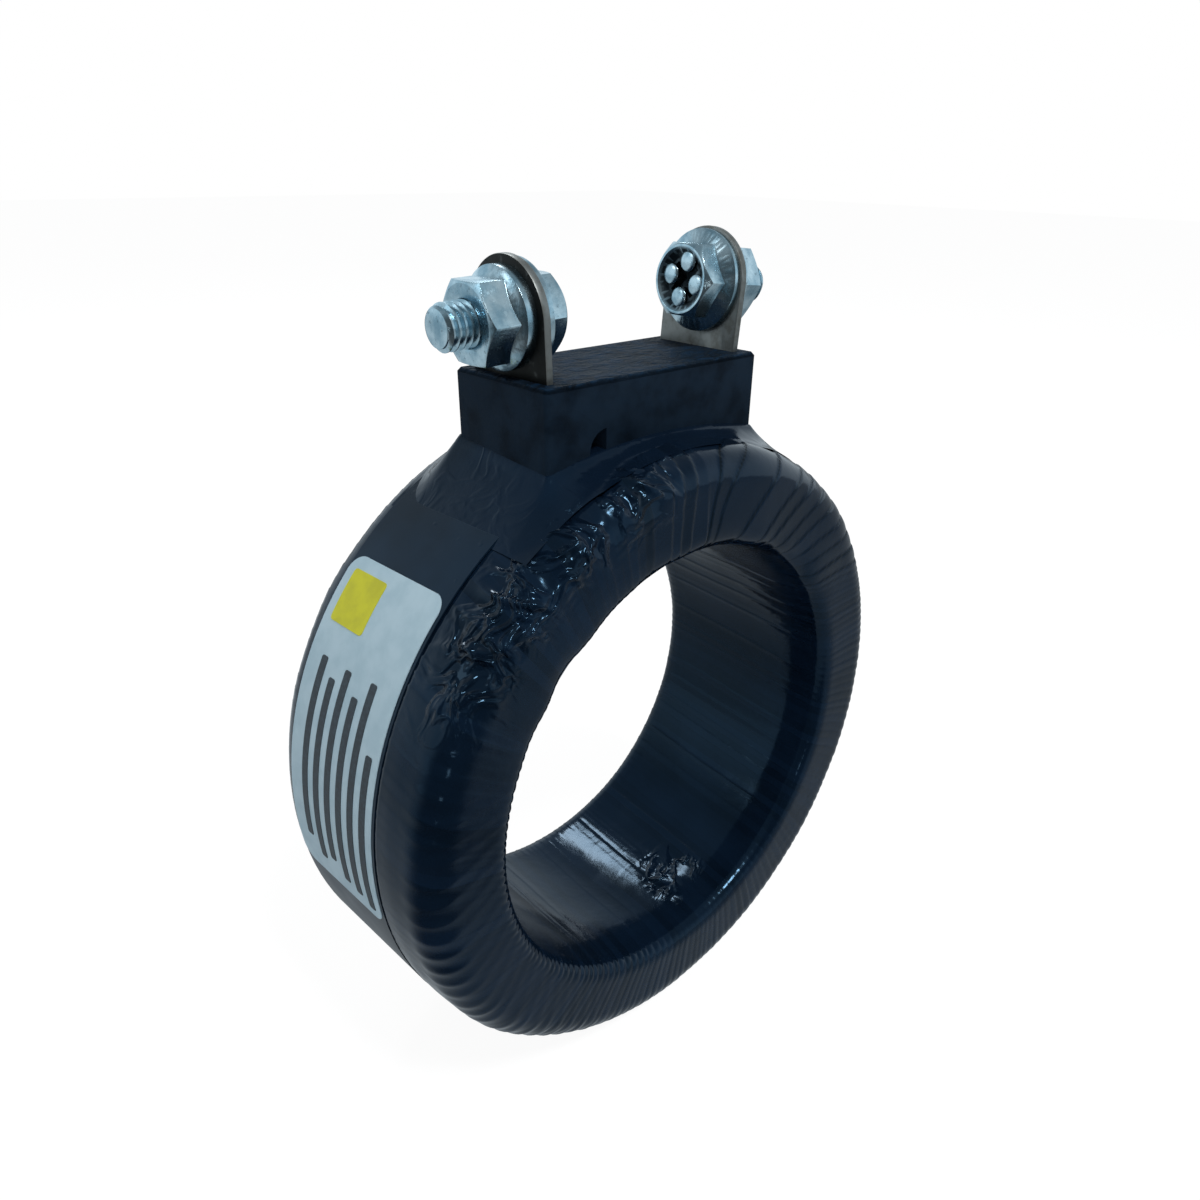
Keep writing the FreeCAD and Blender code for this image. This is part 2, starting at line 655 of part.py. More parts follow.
def make_band(block_form, collar, foot):
    """A smooth turn of tape round the rim, flattened at the foot and cut round the block."""
    outside = window_rod("band_outside", OUTER_RADIUS, "-" + BAND_FRONT, BAND_REAR)
    inside = window_rod("band_inside", BAND_BORE, "-" + BAND_FRONT, BAND_REAR)
    seat = box("band_seat_plane", "-" + OUTER_RADIUS, "-sizes.ring_depth", "-2 * " + OUTER_RADIUS,
               "2 * " + OUTER_RADIUS, "2 * sizes.ring_depth",
               "2 * %s - %s - sizes.band_clearance" % (OUTER_RADIUS, SEAT_FLAT))
    filling = cut("band_filling", inside, seat)
    return node(cut("band", outside, foot, filling, block_form, collar), "rim_band")


# Terminals

def turn_about_y(item):
    """Sets the axis of an object's rotation; the angle, which can't be zero here, is bound afterwards."""
    item.Placement = FreeCAD.Placement(ORIGIN, FreeCAD.Rotation(Y_AXIS, 1))


def place_on_blade(item, side, rise, outward, turn):
    """Places an object on a blade's middle plane: so far up the blade, so far outward, turned about Y."""
    sign, lean = SIDES[side], "sizes.%s_blade_angle" % side
    turn_about_y(item)
    return bind(item,
                Placement__Base__x="%d * (%s + (%s) * sin(%s * 1 deg) + (%s) * cos(%s * 1 deg))"
                                   % (sign, BLADE_MIDDLE, rise, lean, outward, lean),
                Placement__Base__y="sizes.blade_setback",
                Placement__Base__z="%s + (%s) * cos(%s * 1 deg) - (%s) * sin(%s * 1 deg)"
                                   % (BLOCK_TOP, rise, lean, outward, lean),
                Placement__Rotation__Angle="%d * (%s + %d) * 1 deg" % (sign, lean, turn))


def make_plate(name, side, clearance="0"):
    """The flat plate of a blade, or with a clearance the slot that it stands in."""
    half_width = "(sizes.blade_width / 2 + %s)" % clearance
    tail = "(sizes.blade_tail + %s)" % clearance
    top = "sizes.%s_bolt_height" % side
    body = new_body(name)
    sketch = new_sketch(body, "YZ_Plane")
    add_polygon(sketch, [("-" + half_width, "-" + tail), (half_width, "-" + tail),
                         (half_width, top), ("-" + half_width, top)])
    pad(body, sketch, "sizes.blade_wall + 2 * %s" % clearance, midplane=True)
    return place_on_blade(body, side, "0", "0", 0)


def make_blade(side):
    """A tinned blade: straight tail in the block, round top, one hole for the bolt."""
    body = make_plate("blade_" + side, side)
    hole_height = "sizes.%s_bolt_height" % side
    crown = new_sketch(body, "YZ_Plane", "crown_sketch")
    add_circle(crown, "sizes.blade_width / 2", "0", hole_height)
    pad(body, crown, "sizes.blade_wall", midplane=True)
    hole = new_sketch(body, "YZ_Plane", "hole_sketch")
    add_circle(hole, "sizes.blade_hole_diameter / 2", "0", hole_height)
    pocket(body, hole, "2 * sizes.blade_wall", midplane=True)
    return node(body, "terminal_blade_" + side)


def add_hexagon(sketch, width):
    """A hexagon with a corner up, from its width across flats."""
    radius = "(%s) / sqrt(3)" % width
    corners = [("(%s) * cos(%d deg)" % (radius, angle), "(%s) * sin(%d deg)" % (radius, angle))
               for angle in range(30, 390, 60)]
    add_polygon(sketch, corners)


def make_bolt(side):
    """A flange bolt: its axis is local Z, its bearing face is at zero and its shank points up."""
    body = new_body("bolt_" + side)
    shank, head = "sizes.thread_diameter / 2", "sizes.head_height"
    flange = "sizes.head_flange_diameter / 2"
    hexagon = new_sketch(body, "XY_Plane", "hex_sketch")
    add_hexagon(hexagon, "sizes.hex_width")
    pad(body, hexagon, head, reverse=True)
    profile = new_sketch(body, "XZ_Plane", "shank_sketch")
    add_polygon(profile, [("0", "-sizes.head_flange_wall - sizes.head_flange_cone"),
                          ("sizes.hex_width / 2", "-sizes.head_flange_wall - sizes.head_flange_cone"),
                          (flange, "-sizes.head_flange_wall"), (flange, "0"), (shank, "0"),
                          (shank, "sizes.bolt_length - sizes.thread_tip_bevel"),
                          (shank + " - sizes.thread_tip_bevel", "sizes.bolt_length"),
                          ("0", "sizes.bolt_length")])
    revolve(body, profile)
    add_hex_bevel(body, "-" + head, -1, "sizes.head_bevel")
    outside = "-%s - %g" % (head, OVERRUN)
    dish = new_sketch(body, "XZ_Plane", "dish_sketch")
    add_polygon(dish, [("0", outside), ("sizes.head_dish_diameter / 2", outside),
                       ("sizes.head_dish_diameter / 2", "-" + head),
                       ("sizes.head_dish_floor_diameter / 2", "-%s + sizes.head_dish_depth" % head),
                       ("0", "-%s + sizes.head_dish_depth" % head)])
    revolve(body, dish, kind="PartDesign::Groove")
    recess = new_sketch(body, "XY_Plane", "recess_sketch")
    long_side, short_side = "(sizes.recess_length / 2)", "(sizes.recess_width / 2)"
    add_polygon(recess, [("-" + long_side, "-" + short_side), ("-" + short_side, "-" + short_side),
                         ("-" + short_side, "-" + long_side), (short_side, "-" + long_side),
                         (short_side, "-" + short_side), (long_side, "-" + short_side),
                         (long_side, short_side), (short_side, short_side), (short_side, long_side),
                         ("-" + short_side, long_side), ("-" + short_side, short_side),
                         ("-" + long_side, short_side)])
    recess.AttachmentOffset = FreeCAD.Placement(ORIGIN, FreeCAD.Rotation(Z_AXIS, RECESS_ANGLE))
    bind(recess, AttachmentOffset__Base__z=outside)
    pocket(body, recess, "sizes.recess_depth + %g" % OVERRUN, reverse=True)
    place_on_blade(body, side, "sizes.%s_bolt_height" % side, "-sizes.blade_wall / 2", 90)
    return node(body, "terminal_bolt_" + side)


def add_hex_bevel(body, end, direction, bevel):
    """Turns the corners off one end of a hexagon: direction is where that end faces, 1 or -1."""
    sketch = new_sketch(body, "XZ_Plane", "bevel_sketch")
    face_radius = "(sizes.hex_face_diameter / 2)"
    corner = "(sizes.hex_width / sqrt(3))"
    beyond = "(%s + %g)" % (corner, OVERRUN)
    drop = "%s * (%s - %s) / (%s - %s)" % (bevel, beyond, face_radius, corner, face_radius)
    above = "%s + %g" % (end, direction * OVERRUN)
    add_polygon(sketch, [(face_radius, end), (beyond, "%s - %d * %s" % (end, direction, drop)),
                         (beyond, above), (face_radius, above)])
    return revolve(body, sketch, kind="PartDesign::Groove")


def make_nut(side):
    """A flange nut: its axis is local Z and its bearing face is at zero."""
    body = new_body("nut_" + side)
    hexagon = new_sketch(body, "XY_Plane", "hex_sketch")
    add_hexagon(hexagon, "sizes.hex_width")
    pad(body, hexagon, "sizes.nut_height")
    profile = new_sketch(body, "XZ_Plane", "flange_sketch")
    flange = "sizes.nut_flange_diameter / 2"
    add_polygon(profile, [("0", "0"), (flange, "0"), (flange, "sizes.nut_flange_wall"),
                          ("sizes.hex_width / 2", "sizes.nut_flange_wall + sizes.nut_flange_cone"),
                          ("0", "sizes.nut_flange_wall + sizes.nut_flange_cone")])
    revolve(body, profile)
    add_hex_bevel(body, "sizes.nut_height", 1, "sizes.nut_bevel")
    hole = new_sketch(body, "XY_Plane", "bore_sketch")
    add_circle(hole, "sizes.thread_diameter / 2 + sizes.thread_clearance")
    pocket(body, hole, "2 * sizes.nut_height + %g" % OVERRUN, midplane=True)
    place_on_blade(body, side, "sizes.%s_bolt_height" % side, "sizes.blade_wall / 2", 90)
    return node(body, "terminal_nut_" + side)


# Leads from the winding up to the blades

def make_lead(side, blade):
    """A lead wire with its sleeve, and the solder that joins it to the blade's tail."""
    sign = SIDES[side]
    x, y = "%d * %s" % (sign, LEAD_SIDE), "sizes.blade_setback"
    low = "(%s - sizes.winding_wall)" % WINDING.rim
    wire_radius, sleeve_radius = "sizes.lead_diameter / 2", "sizes.lead_sleeve_diameter / 2"
    winding_form = window_rod("winding_form_" + side, WINDING.rim, "-" + WINDING.face, WINDING.face)
    wire_top, sleeve_top = "(%s - sizes.lead_depth)" % BLOCK_TOP, "(%s - sizes.lead_sleeve_depth)" % BLOCK_TOP
    rod = upright_rod("lead_rod_" + side, x, y, low, wire_top, wire_radius)
    wire = node(cut("lead_" + side, rod, winding_form), "lead_wire_" + side)
    outside = upright_rod("sleeve_outside_" + side, x, y, low, sleeve_top, sleeve_radius)
    node(cut("sleeve_" + side, outside, rod, winding_form), "lead_sleeve_" + side)
    reach = "(sizes.lead_inset - sizes.solder_depth * tan(sizes.%s_blade_angle * 1 deg))" % side
    drop = doc.addObject("Part::Cylinder", "solder_drop_" + side)
    drop.Placement = FreeCAD.Placement(ORIGIN, FreeCAD.Rotation(Y_AXIS, 90 * sign))
    bind(drop, Radius="sizes.solder_diameter / 2", Height=reach, Placement__Base__x=x,
         Placement__Base__y=y, Placement__Base__z=SOLDER_HEIGHT)
    node(cut("solder_" + side, drop, wire, blade), "solder_joint_" + side)


# Label and its print

def make_prism(name, middle_angle, half_height, low_y, high_y, corner, reach):
    """A rounded rectangle pushed out from the window's axis, at an angle from the crown to the left."""
    body = new_body(name)
    sketch = new_sketch(body, "XY_Plane")
    add_rounded_loop(sketch, "-" + half_height, half_height, low_y, high_y, corner, corner)
    pad(body, sketch, reach)
    turn_about_y(body)
    return bind(body, Placement__Rotation__Angle="-(%s) * 1 deg" % middle_angle)


def make_skin(name, radius, wall):
    """A thin tube over the whole rim, from which a label or its print is taken."""
    return tube(name, radius, "(%s + %s)" % (radius, wall), "sizes.ring_depth")


def make_label():
    reach = "2 * " + OUTER_RADIUS
    front = "(sizes.label_front_margin - %s)" % BAND_FRONT
    rear = "(%s - sizes.label_rear_margin)" % BAND_REAR
    half_height = "(%s * sin(sizes.label_span_angle / 2 * 1 deg))" % OUTER_RADIUS
    prism = make_prism("label_prism", "sizes.label_middle_angle", half_height, front, rear,
                       "sizes.label_corner_radius", reach)
    skin = make_skin("label_skin", OUTER_RADIUS, "sizes.label_wall")
    node(common("label_piece", skin, prism), "label")
    prism = make_prism("patch_prism", "sizes.patch_middle_angle", "(sizes.patch_width / 2)",
                       "(%s - sizes.patch_margin - sizes.patch_width)" % rear,
                       "(%s - sizes.patch_margin)" % rear, "sizes.patch_corner_radius", reach)
    print_skin = make_skin("print_skin", LABEL_FACE, "sizes.print_wall")
    node(common("patch_piece", print_skin, prism), "label_patch")
    first, last = "(%s + sizes.bar_front_margin)" % front, "(%s - sizes.bar_rear_margin)" % rear
    bars = []
    for index, (start_angle, end_angle) in enumerate(BAR_ANGLES):
        middle = "%s" % ((start_angle + end_angle) / 2)
        half_length = "(%s * sin(%s deg))" % (OUTER_RADIUS, (end_angle - start_angle) / 2)
        bar_y = "(%s + (%s - %s) * %d / %d)" % (first, last, first, index, len(BAR_ANGLES) - 1)
        bars.append(make_prism("bar_prism_%d" % index, middle, half_length, bar_y + " - sizes.bar_width / 2",
                               bar_y + " + sizes.bar_width / 2", "sizes.bar_corner_radius", reach))
    node(common("bar_pieces", print_skin, fuse("bar_prisms", *bars)), "label_bars")


def check_document():
    """Stops when an object failed, or when a piece is empty or not valid."""
    failed = [item.Name for item in doc.Objects if {"Invalid", "Error"} & set(item.State)]
    bad = [item.Label for item in NODES if item.Shape.isNull() or not item.Shape.isValid()
           or not item.Shape.Solids]
    if failed or bad:
        raise RuntimeError("failed objects: %s; bad pieces: %s" % (failed, bad))


def main():
    make_core()
    make_winding()
    lead_holes = make_lead_holes()
    make_film(lead_holes)
    foot = make_foot_plane()
    make_tape(lead_holes, foot)
    ring_seat = make_ring_seat()
    slots = [make_plate("slot_" + side, side, "sizes.slot_clearance") for side in SIDES]
    block_form = make_block(ring_seat, slots)
    collar = make_collar(ring_seat, block_form)
    make_band(block_form, collar, foot)
    for side in SIDES:
        blade = make_blade(side)
        make_bolt(side)
        make_nut(side)
        make_lead(side, blade)
    make_label()
    doc.recompute()
    check_document()
    os.makedirs("parts", exist_ok=True)
    for item in NODES:
        item.Shape.exportStep("parts/%s.step" % item.Label)
        print("%-24s solids %d volume %.1f" % (item.Label, len(item.Shape.Solids), item.Shape.Volume))


main()
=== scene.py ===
"""Looks of a window-type current transformer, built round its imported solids.

Metres, +Z up. The window's axis is Y, the front is at -Y, left is -X and the ring stands on its rim.
Angles round the ring start at the crown and grow towards the left.
"""
import json
import logging
import math
import random
from bisect import bisect_right
from dataclasses import dataclass, field
from typing import Any, Callable, Iterable, Sequence

import bmesh
import bpy
from mathutils import Matrix, Vector, noise


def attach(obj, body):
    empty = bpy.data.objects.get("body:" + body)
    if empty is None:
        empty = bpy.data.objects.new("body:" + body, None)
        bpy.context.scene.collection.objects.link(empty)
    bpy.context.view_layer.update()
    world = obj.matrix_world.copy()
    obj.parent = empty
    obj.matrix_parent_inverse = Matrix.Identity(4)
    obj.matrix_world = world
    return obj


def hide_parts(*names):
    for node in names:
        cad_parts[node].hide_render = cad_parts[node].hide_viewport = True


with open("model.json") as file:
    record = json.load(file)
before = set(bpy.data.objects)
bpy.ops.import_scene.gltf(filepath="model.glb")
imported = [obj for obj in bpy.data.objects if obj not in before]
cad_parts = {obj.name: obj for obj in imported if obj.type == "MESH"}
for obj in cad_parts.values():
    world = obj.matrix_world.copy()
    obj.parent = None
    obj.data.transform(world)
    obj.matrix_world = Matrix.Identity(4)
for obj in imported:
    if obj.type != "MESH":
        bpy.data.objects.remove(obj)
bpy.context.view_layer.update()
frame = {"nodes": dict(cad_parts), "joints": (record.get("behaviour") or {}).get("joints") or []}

LOG = logging.getLogger("transformer")
MM = 0.001
RGBA = tuple[float, float, float, float]
WINDOW_AXIS = Vector((0, 1, 0))


def srgb(red: int, green: int, blue: int) -> RGBA:
    """A linear colour from the 0 to 255 values of a screen."""
    def linear(value: float) -> float:
        value /= 255
        return value / 12.92 if value <= 0.04045 else ((value + 0.055) / 1.055) ** 2.4
    return linear(red), linear(green), linear(blue), 1.0


# Shader maths

def operator(operation: str, flip: bool = False) -> Callable[..., "Value"]:
    """Makes a method that adds a Math node on a value and the others, the other way round when flipped."""
    def method(self: "Value", *others: Any) -> "Value":
        terms = [self, *others]
        return self.graph.math(operation, *(reversed(terms) if flip else terms))
    return method


class Value:
    """A shader socket that can be used in arithmetic."""

    def __init__(self, graph: "Graph", socket: bpy.types.NodeSocket) -> None:
        """Keeps the graph that the socket is in and the socket itself."""
        self.graph = graph
        self.socket = socket

    __add__ = __radd__ = operator("ADD")
    __mul__ = __rmul__ = operator("MULTIPLY")
    __sub__ = operator("SUBTRACT")
    __rsub__ = operator("SUBTRACT", flip=True)
    __truediv__ = operator("DIVIDE")
    __rtruediv__ = operator("DIVIDE", flip=True)
    __pow__ = operator("POWER")
    __abs__ = operator("ABSOLUTE")

    # The next lower whole number, and what is over it.
    whole = operator("FLOOR")
    fraction = operator("FRACT")

    def fade(self, low: float, high: float, start: float = 0.0, end: float = 1.0) -> "Value":
        """Goes smoothly from start to end while this goes from low to high.

        Args:
            low: Where the change starts.
            high: Where the change ends.
            start: Result up to low.
            end: Result from high on.

        Returns:
            The faded value.
        """
        return self.graph.node("ShaderNodeMapRange", {"interpolation_type": "SMOOTHSTEP"},
                               {"Value": self, "From Min": low, "From Max": high,
                                "To Min": start, "To Max": end})


class Graph:
    """A node tree, with one method that adds any node to it."""

    def __init__(self, tree: bpy.types.NodeTree) -> None:
        """Clears the tree and keeps it."""
        self.tree = tree
        tree.nodes.clear()

    def node(self, kind: str, settings: dict[str, Any] | None = None,
             inputs: dict[str | int, Any] | None = None, output: str | int = 0) -> Value:
        """Adds a node.

        Args:
            kind: The node's type.
            settings: Its own settings.
            inputs: Values or links of its sockets, by name or number.
            output: The socket that is returned.

        Returns:
            The chosen output socket as a value.
        """
        made = self.tree.nodes.new(kind)
        for name, setting in (settings or {}).items():
            setattr(made, name, setting)
        for name, given in (inputs or {}).items():
            if isinstance(given, Value):
                self.tree.links.new(given.socket, made.inputs[name])
            else:
                made.inputs[name].default_value = given
        return Value(self, made.outputs[output] if made.outputs else None)

    def math(self, operation: str, *terms: Any) -> Value:
        """Adds a Math node on values and numbers."""
        return self.node("ShaderNodeMath", {"operation": operation}, dict(enumerate(terms)))

    def place(self) -> Value:
        """Object coordinates, in metres."""
        return self.node("ShaderNodeTexCoord", output="Object")

    def part(self, vector: Value, axis: str) -> Value:
        """One coordinate of a vector."""
        return self.node("ShaderNodeSeparateXYZ", None, {0: vector}, axis)

    def map_parts(self, name: str) -> tuple[Value, Value]:
        """The two numbers that a piece's own map holds."""
        uv = self.node("ShaderNodeUVMap", {"uv_map": name})
        return self.part(uv, "X"), self.part(uv, "Y")

    def stretch(self, vector: Value, scale: Sequence[float], turn: Sequence[float] = (0, 0, 0)) -> Value:
        """The vector turned (degrees) and scaled by a Mapping node."""
        return self.node("ShaderNodeMapping", None,
                         {"Vector": vector, "Scale": scale, "Rotation": [math.radians(t) for t in turn]})

    def noise(self, vector: Value, scale: float, detail: float, roughness: float = 0.5,
              distortion: float = 0.0) -> Value:
        """Smooth noise between 0 and 1, its scale in patches a metre."""
        return self.node("ShaderNodeTexNoise", None,
                         {"Vector": vector, "Scale": scale, "Detail": detail, "Roughness": roughness,
                          "Distortion": distortion})

    def blend(self, factor: Any, first: Any, second: Any) -> Value:
        """A colour between two others."""
        return self.node("ShaderNodeMix", {"data_type": "RGBA"}, {0: factor, 6: first, 7: second}, 2)

    def bump(self, height: Value, depth: float, strength: float, normal: Value | None = None) -> Value:
        """The normal of a surface whose height, 0 to 1, is that depth in metres."""
        inputs = {"Height": height, "Distance": depth, "Strength": strength}
        if normal is not None:
            inputs["Normal"] = normal
        return self.node("ShaderNodeBump", None, inputs)

    def finish(self, colour: Value, roughness: Value, normal: Value, **sockets: Any) -> None:
        """Ends a material in a Principled shader.

        Args:
            colour: Base colour.
            roughness: Roughness.
            normal: Bumped normal.
            **sockets: Other sockets, with _ for each space in their names.
        """
        inputs = {"Base Color": colour, "Roughness": roughness, "Normal": normal}
        inputs.update({name.replace("_", " "): given for name, given in sockets.items()})
        shader = self.node("ShaderNodeBsdfPrincipled", None, inputs)
        self.node("ShaderNodeOutputMaterial", None, {"Surface": shader})


# Finishes

# Soft plastic tape: its gloss is weaker than a hard lacquer's, and bluish.
GLOSSY_TAPE = {"IOR": 1.5, "Specular_IOR_Level": 0.28, "Specular_Tint": (0.32, 0.63, 0.95, 1.0)}


@dataclass(frozen=True)
class Finish:
    """A finish: its name in the record and how its material is made."""

    slot: str

    def paint(self, graph: Graph) -> None:
        """Builds the material's nodes."""
        raise NotImplementedError

    def material(self) -> None:
        """Makes the material."""
        made = bpy.data.materials.new(self.slot + "_finish")
        made.use_nodes = True
        self.paint(Graph(made.node_tree))


@dataclass(frozen=True)
class TapeFinish(Finish):
    """Glossy blue-black tape in turns: a thin dark streak of painted shade at each lap's edge, and folds
    where it is loose.
    """

    dark: RGBA = srgb(5, 13, 23)
    light: RGBA = srgb(13, 28, 46)
    # crease is painted shade: the thin dark streak at each lap's edge.
    crease: RGBA = srgb(1, 2, 4)
    roughness: float = 0.13

    def paint(self, graph: Graph) -> None:
        """Builds the material's nodes."""
        place = graph.place()
        lap, loose = graph.map_parts(TapeSkin.LAP_MAP)
        width, edge_shade = graph.map_parts(TapeSkin.EDGE_SHADE_MAP)
        tone = graph.node("ShaderNodeTexWhiteNoise", {"noise_dimensions": "1D"}, {"W": lap.whole()})
        cloud = graph.noise(place, 70, 3)
        colour = graph.blend((tone * 0.35 + cloud * 0.9 - 0.1).fade(0, 1), self.dark, self.light)
        # The edge mask paints shade in a narrow band, in millimetres, along each lap's edge; broken varies
        # its strength.
        inward = (0.5 - abs(lap.fraction() - 0.5)) * width
        edge = inward.fade(0.05, 0.17, 1.0, 0.0) * edge_shade
        broken = graph.noise(place, 200, 2).fade(0.3, 0.5, 0.45, 1.0)
        colour = graph.blend(edge * broken, colour, self.crease)
        grain = graph.noise(place, 4200, 2)
        ripple = graph.noise(place, 260, 3, 0.5, 0.5)
        scuffs = graph.noise(place, 150, 4).fade(0.5, 0.75)
        roughness = self.roughness + 0.1 * scuffs + 0.2 * edge
        folds = (1 - 9 * abs(graph.noise(place, 150, 2, 0.4, 1.2) - 0.5)).fade(0, 1)
        normal = graph.bump(ripple, 0.00011, 0.5)
        normal = graph.bump(folds * loose, 0.0007, 0.9, normal)
        normal = graph.bump(grain, 0.000008, 0.4, normal)
        graph.finish(colour, roughness, normal, **GLOSSY_TAPE)


@dataclass(frozen=True)
class BandFinish(Finish):
    """The same tape laid smooth: long soft waves and a few trapped bubbles."""

    dark: RGBA = srgb(7, 16, 26)
    light: RGBA = srgb(16, 32, 48)
    roughness: float = 0.24

    def paint(self, graph: Graph) -> None:
        """Builds the material's nodes."""
        place = graph.place()
        cloud = graph.noise(place, 60, 3)
        wave = graph.noise(graph.stretch(place, (1, 0.3, 1)), 70, 3, 0.5, 0.3)
        bubble = graph.noise(place, 420, 2).fade(0.64, 0.8)
        colour = graph.blend(cloud.fade(0.3, 0.7), self.dark, self.light)
        normal = graph.bump(wave + bubble * 0.12, 0.0004, 0.6)
        normal = graph.bump(graph.noise(place, 4200, 2), 0.00001, 0.5, normal)
        graph.finish(colour, self.roughness + 0.12 * graph.noise(place, 200, 2), normal, **GLOSSY_TAPE)


@dataclass(frozen=True)
class MouldingFinish(Finish):
    """Moulded block: matt blue-black plastic, mottled, with a rough top that is painted paler as painted
    light.
    """

    body: RGBA = srgb(22, 35, 49)
    pale_mottle_and_top_light: RGBA = srgb(21, 42, 63)
    deep: RGBA = srgb(9, 17, 27)
    sheen: RGBA = (0.5, 0.8, 1.0, 1.0)
    top_height: float = 61.6 * MM

    def paint(self, graph: Graph) -> None:
        """Builds the material's nodes."""
        place = graph.place()
        top = graph.part(place, "Z").fade(self.top_height - 0.6 * MM, self.top_height - 0.1 * MM)
        mottle = graph.noise(graph.stretch(place, (0.8, 1.2, 1), (0, 0, 18)), 520, 4, 0.6, 0.9)
        coarse = graph.noise(graph.stretch(place, (0.5, 1.3, 1), (0, 0, 8)), 260, 3, 0.55, 1.2)
        colour = graph.blend(graph.noise(place, 200, 4).fade(0.35, 0.75), self.body, self.deep)
        # Paler mottle: a little everywhere as tone, and strong on the top face as painted light.
        colour = graph.blend(mottle.fade(0.46, 0.62) * (0.08 + 0.8 * top), colour, self.pale_mottle_and_top_light)
        normal = graph.bump(mottle, 0.0002, 0.22)
        normal = graph.bump((mottle + coarse) * top, 0.0009, 1.0, normal)
        graph.finish(colour, 0.5 + 0.2 * mottle, normal, Specular_IOR_Level=0.07, Specular_Tint=self.sheen)


@dataclass(frozen=True)
class ZincFinish(Finish):
    """Bright zinc plate: pale blue metal, clouded and finely scratched, with painted shade in the head's
    dish.
    """

    bright: RGBA = srgb(196, 220, 230)
    dull: RGBA = srgb(134, 168, 184)
    stain: RGBA = srgb(56, 72, 84)
    shade: RGBA = srgb(14, 19, 25)
    roughness: float = 0.16

    def paint(self, graph: Graph) -> None:
        """Builds the material's nodes."""
        place = graph.place()
        cloud = graph.noise(place, 380, 4, 0.55)
        spots = graph.noise(place, 1300, 3, 0.6).fade(0.6, 0.74)
        dish_shade, _ = graph.map_parts(ScrewTerminal.MAP)
        colour = graph.blend(cloud.fade(0.3, 0.7), self.bright, self.dull)
        colour = graph.blend(spots * 0.45, colour, self.stain)
        # Painted shade in the head's dish and on the pads below their caps.
        colour = graph.blend(dish_shade * cloud.fade(0.25, 0.5, 0.75, 0.95), colour, self.shade)
        scratch = graph.noise(graph.stretch(place, (1, 8, 1), (0, 30, 20)), 900, 3, 0.6)
        normal = graph.bump(scratch, 0.00002, 0.5)
        normal = graph.bump(graph.noise(place, 600, 2), 0.00006, 0.5, normal)
        roughness = self.roughness + 0.16 * cloud + 0.2 * spots + 0.25 * dish_shade
        graph.finish(colour, roughness, normal, Metallic=1.0)


@dataclass(frozen=True)
class TinFinish(Finish):
    """Tinned copper strip: warm grey and satin, brushed along its height, with mottled painted shade on its
    outer faces.
    """

    tin: RGBA = srgb(128, 132, 131)
    thin: RGBA = srgb(104, 105, 101)
    outer_shade: RGBA = srgb(22, 23, 22)
    roughness: float = 0.38

    def paint(self, graph: Graph) -> None:
        """Builds the material's nodes."""
        place = graph.place()
        mottle = graph.noise(place, 520, 4, 0.6)
        streak = graph.noise(graph.stretch(place, (1, 1, 0.1)), 1800, 3)
        outer, _ = graph.map_parts(Fittings.MAP)
        colour = graph.blend(mottle.fade(0.4, 0.7), self.tin, self.thin)
        # Painted shade on the blades' outer faces, in mottled patches.
        colour = graph.blend(outer * mottle.fade(0.3, 0.4, 0.8, 0.96), colour, self.outer_shade)
        normal = graph.bump(mottle * 0.5 + streak * 0.5, 0.00003, 0.6)
        graph.finish(colour, self.roughness + 0.14 * mottle, normal, Metallic=0.9)


@dataclass(frozen=True)
class SpeckledFinish(Finish):
    """A finish of two tones in soft specks, for the plain and the inner pieces."""

    base: RGBA
    speck: RGBA
    roughness: float
    scale: float
    depth: float = 0.00003
    stretch: tuple[float, float, float] = (1.0, 1.0, 1.0)
    metallic: float = 0.0
    alpha: float = 1.0

    def paint(self, graph: Graph) -> None:
        """Builds the material's nodes."""
        place = graph.stretch(graph.place(), self.stretch)
        speck = graph.noise(place, self.scale, 4, 0.55)
        colour = graph.blend(speck.fade(0.35, 0.7), self.base, self.speck)
        normal = graph.bump(speck, self.depth, 0.6)
        graph.finish(colour, self.roughness + 0.15 * speck, normal, Metallic=self.metallic, Alpha=self.alpha)


@dataclass(frozen=True)
class TurnsFinish(Finish):
    """Enamelled copper wire laid side by side round the core's section, with painted shade in the grooves
    between turns.
    """

    crest: RGBA = srgb(176, 92, 44)
    groove_shade: RGBA = srgb(66, 26, 12)
    turns: float = 220.0

    def paint(self, graph: Graph) -> None:
        """Builds the material's nodes."""
        place = graph.place()
        angle = graph.math("ARCTAN2", graph.part(place, "X"), graph.part(place, "Z"))
        wave = abs(((angle * (self.turns / math.tau)).fraction() - 0.5) * 2)
        tone = graph.noise(place, 300, 3)
        # Painted shade in the grooves between the wire's turns.
        colour = graph.blend(wave.fade(0.2, 1) * (0.7 + 0.3 * tone), self.crest, self.groove_shade)
        graph.finish(colour, 0.3 + 0.2 * tone, graph.bump(1 - wave ** 2, 0.0003, 0.8), Metallic=0.4)


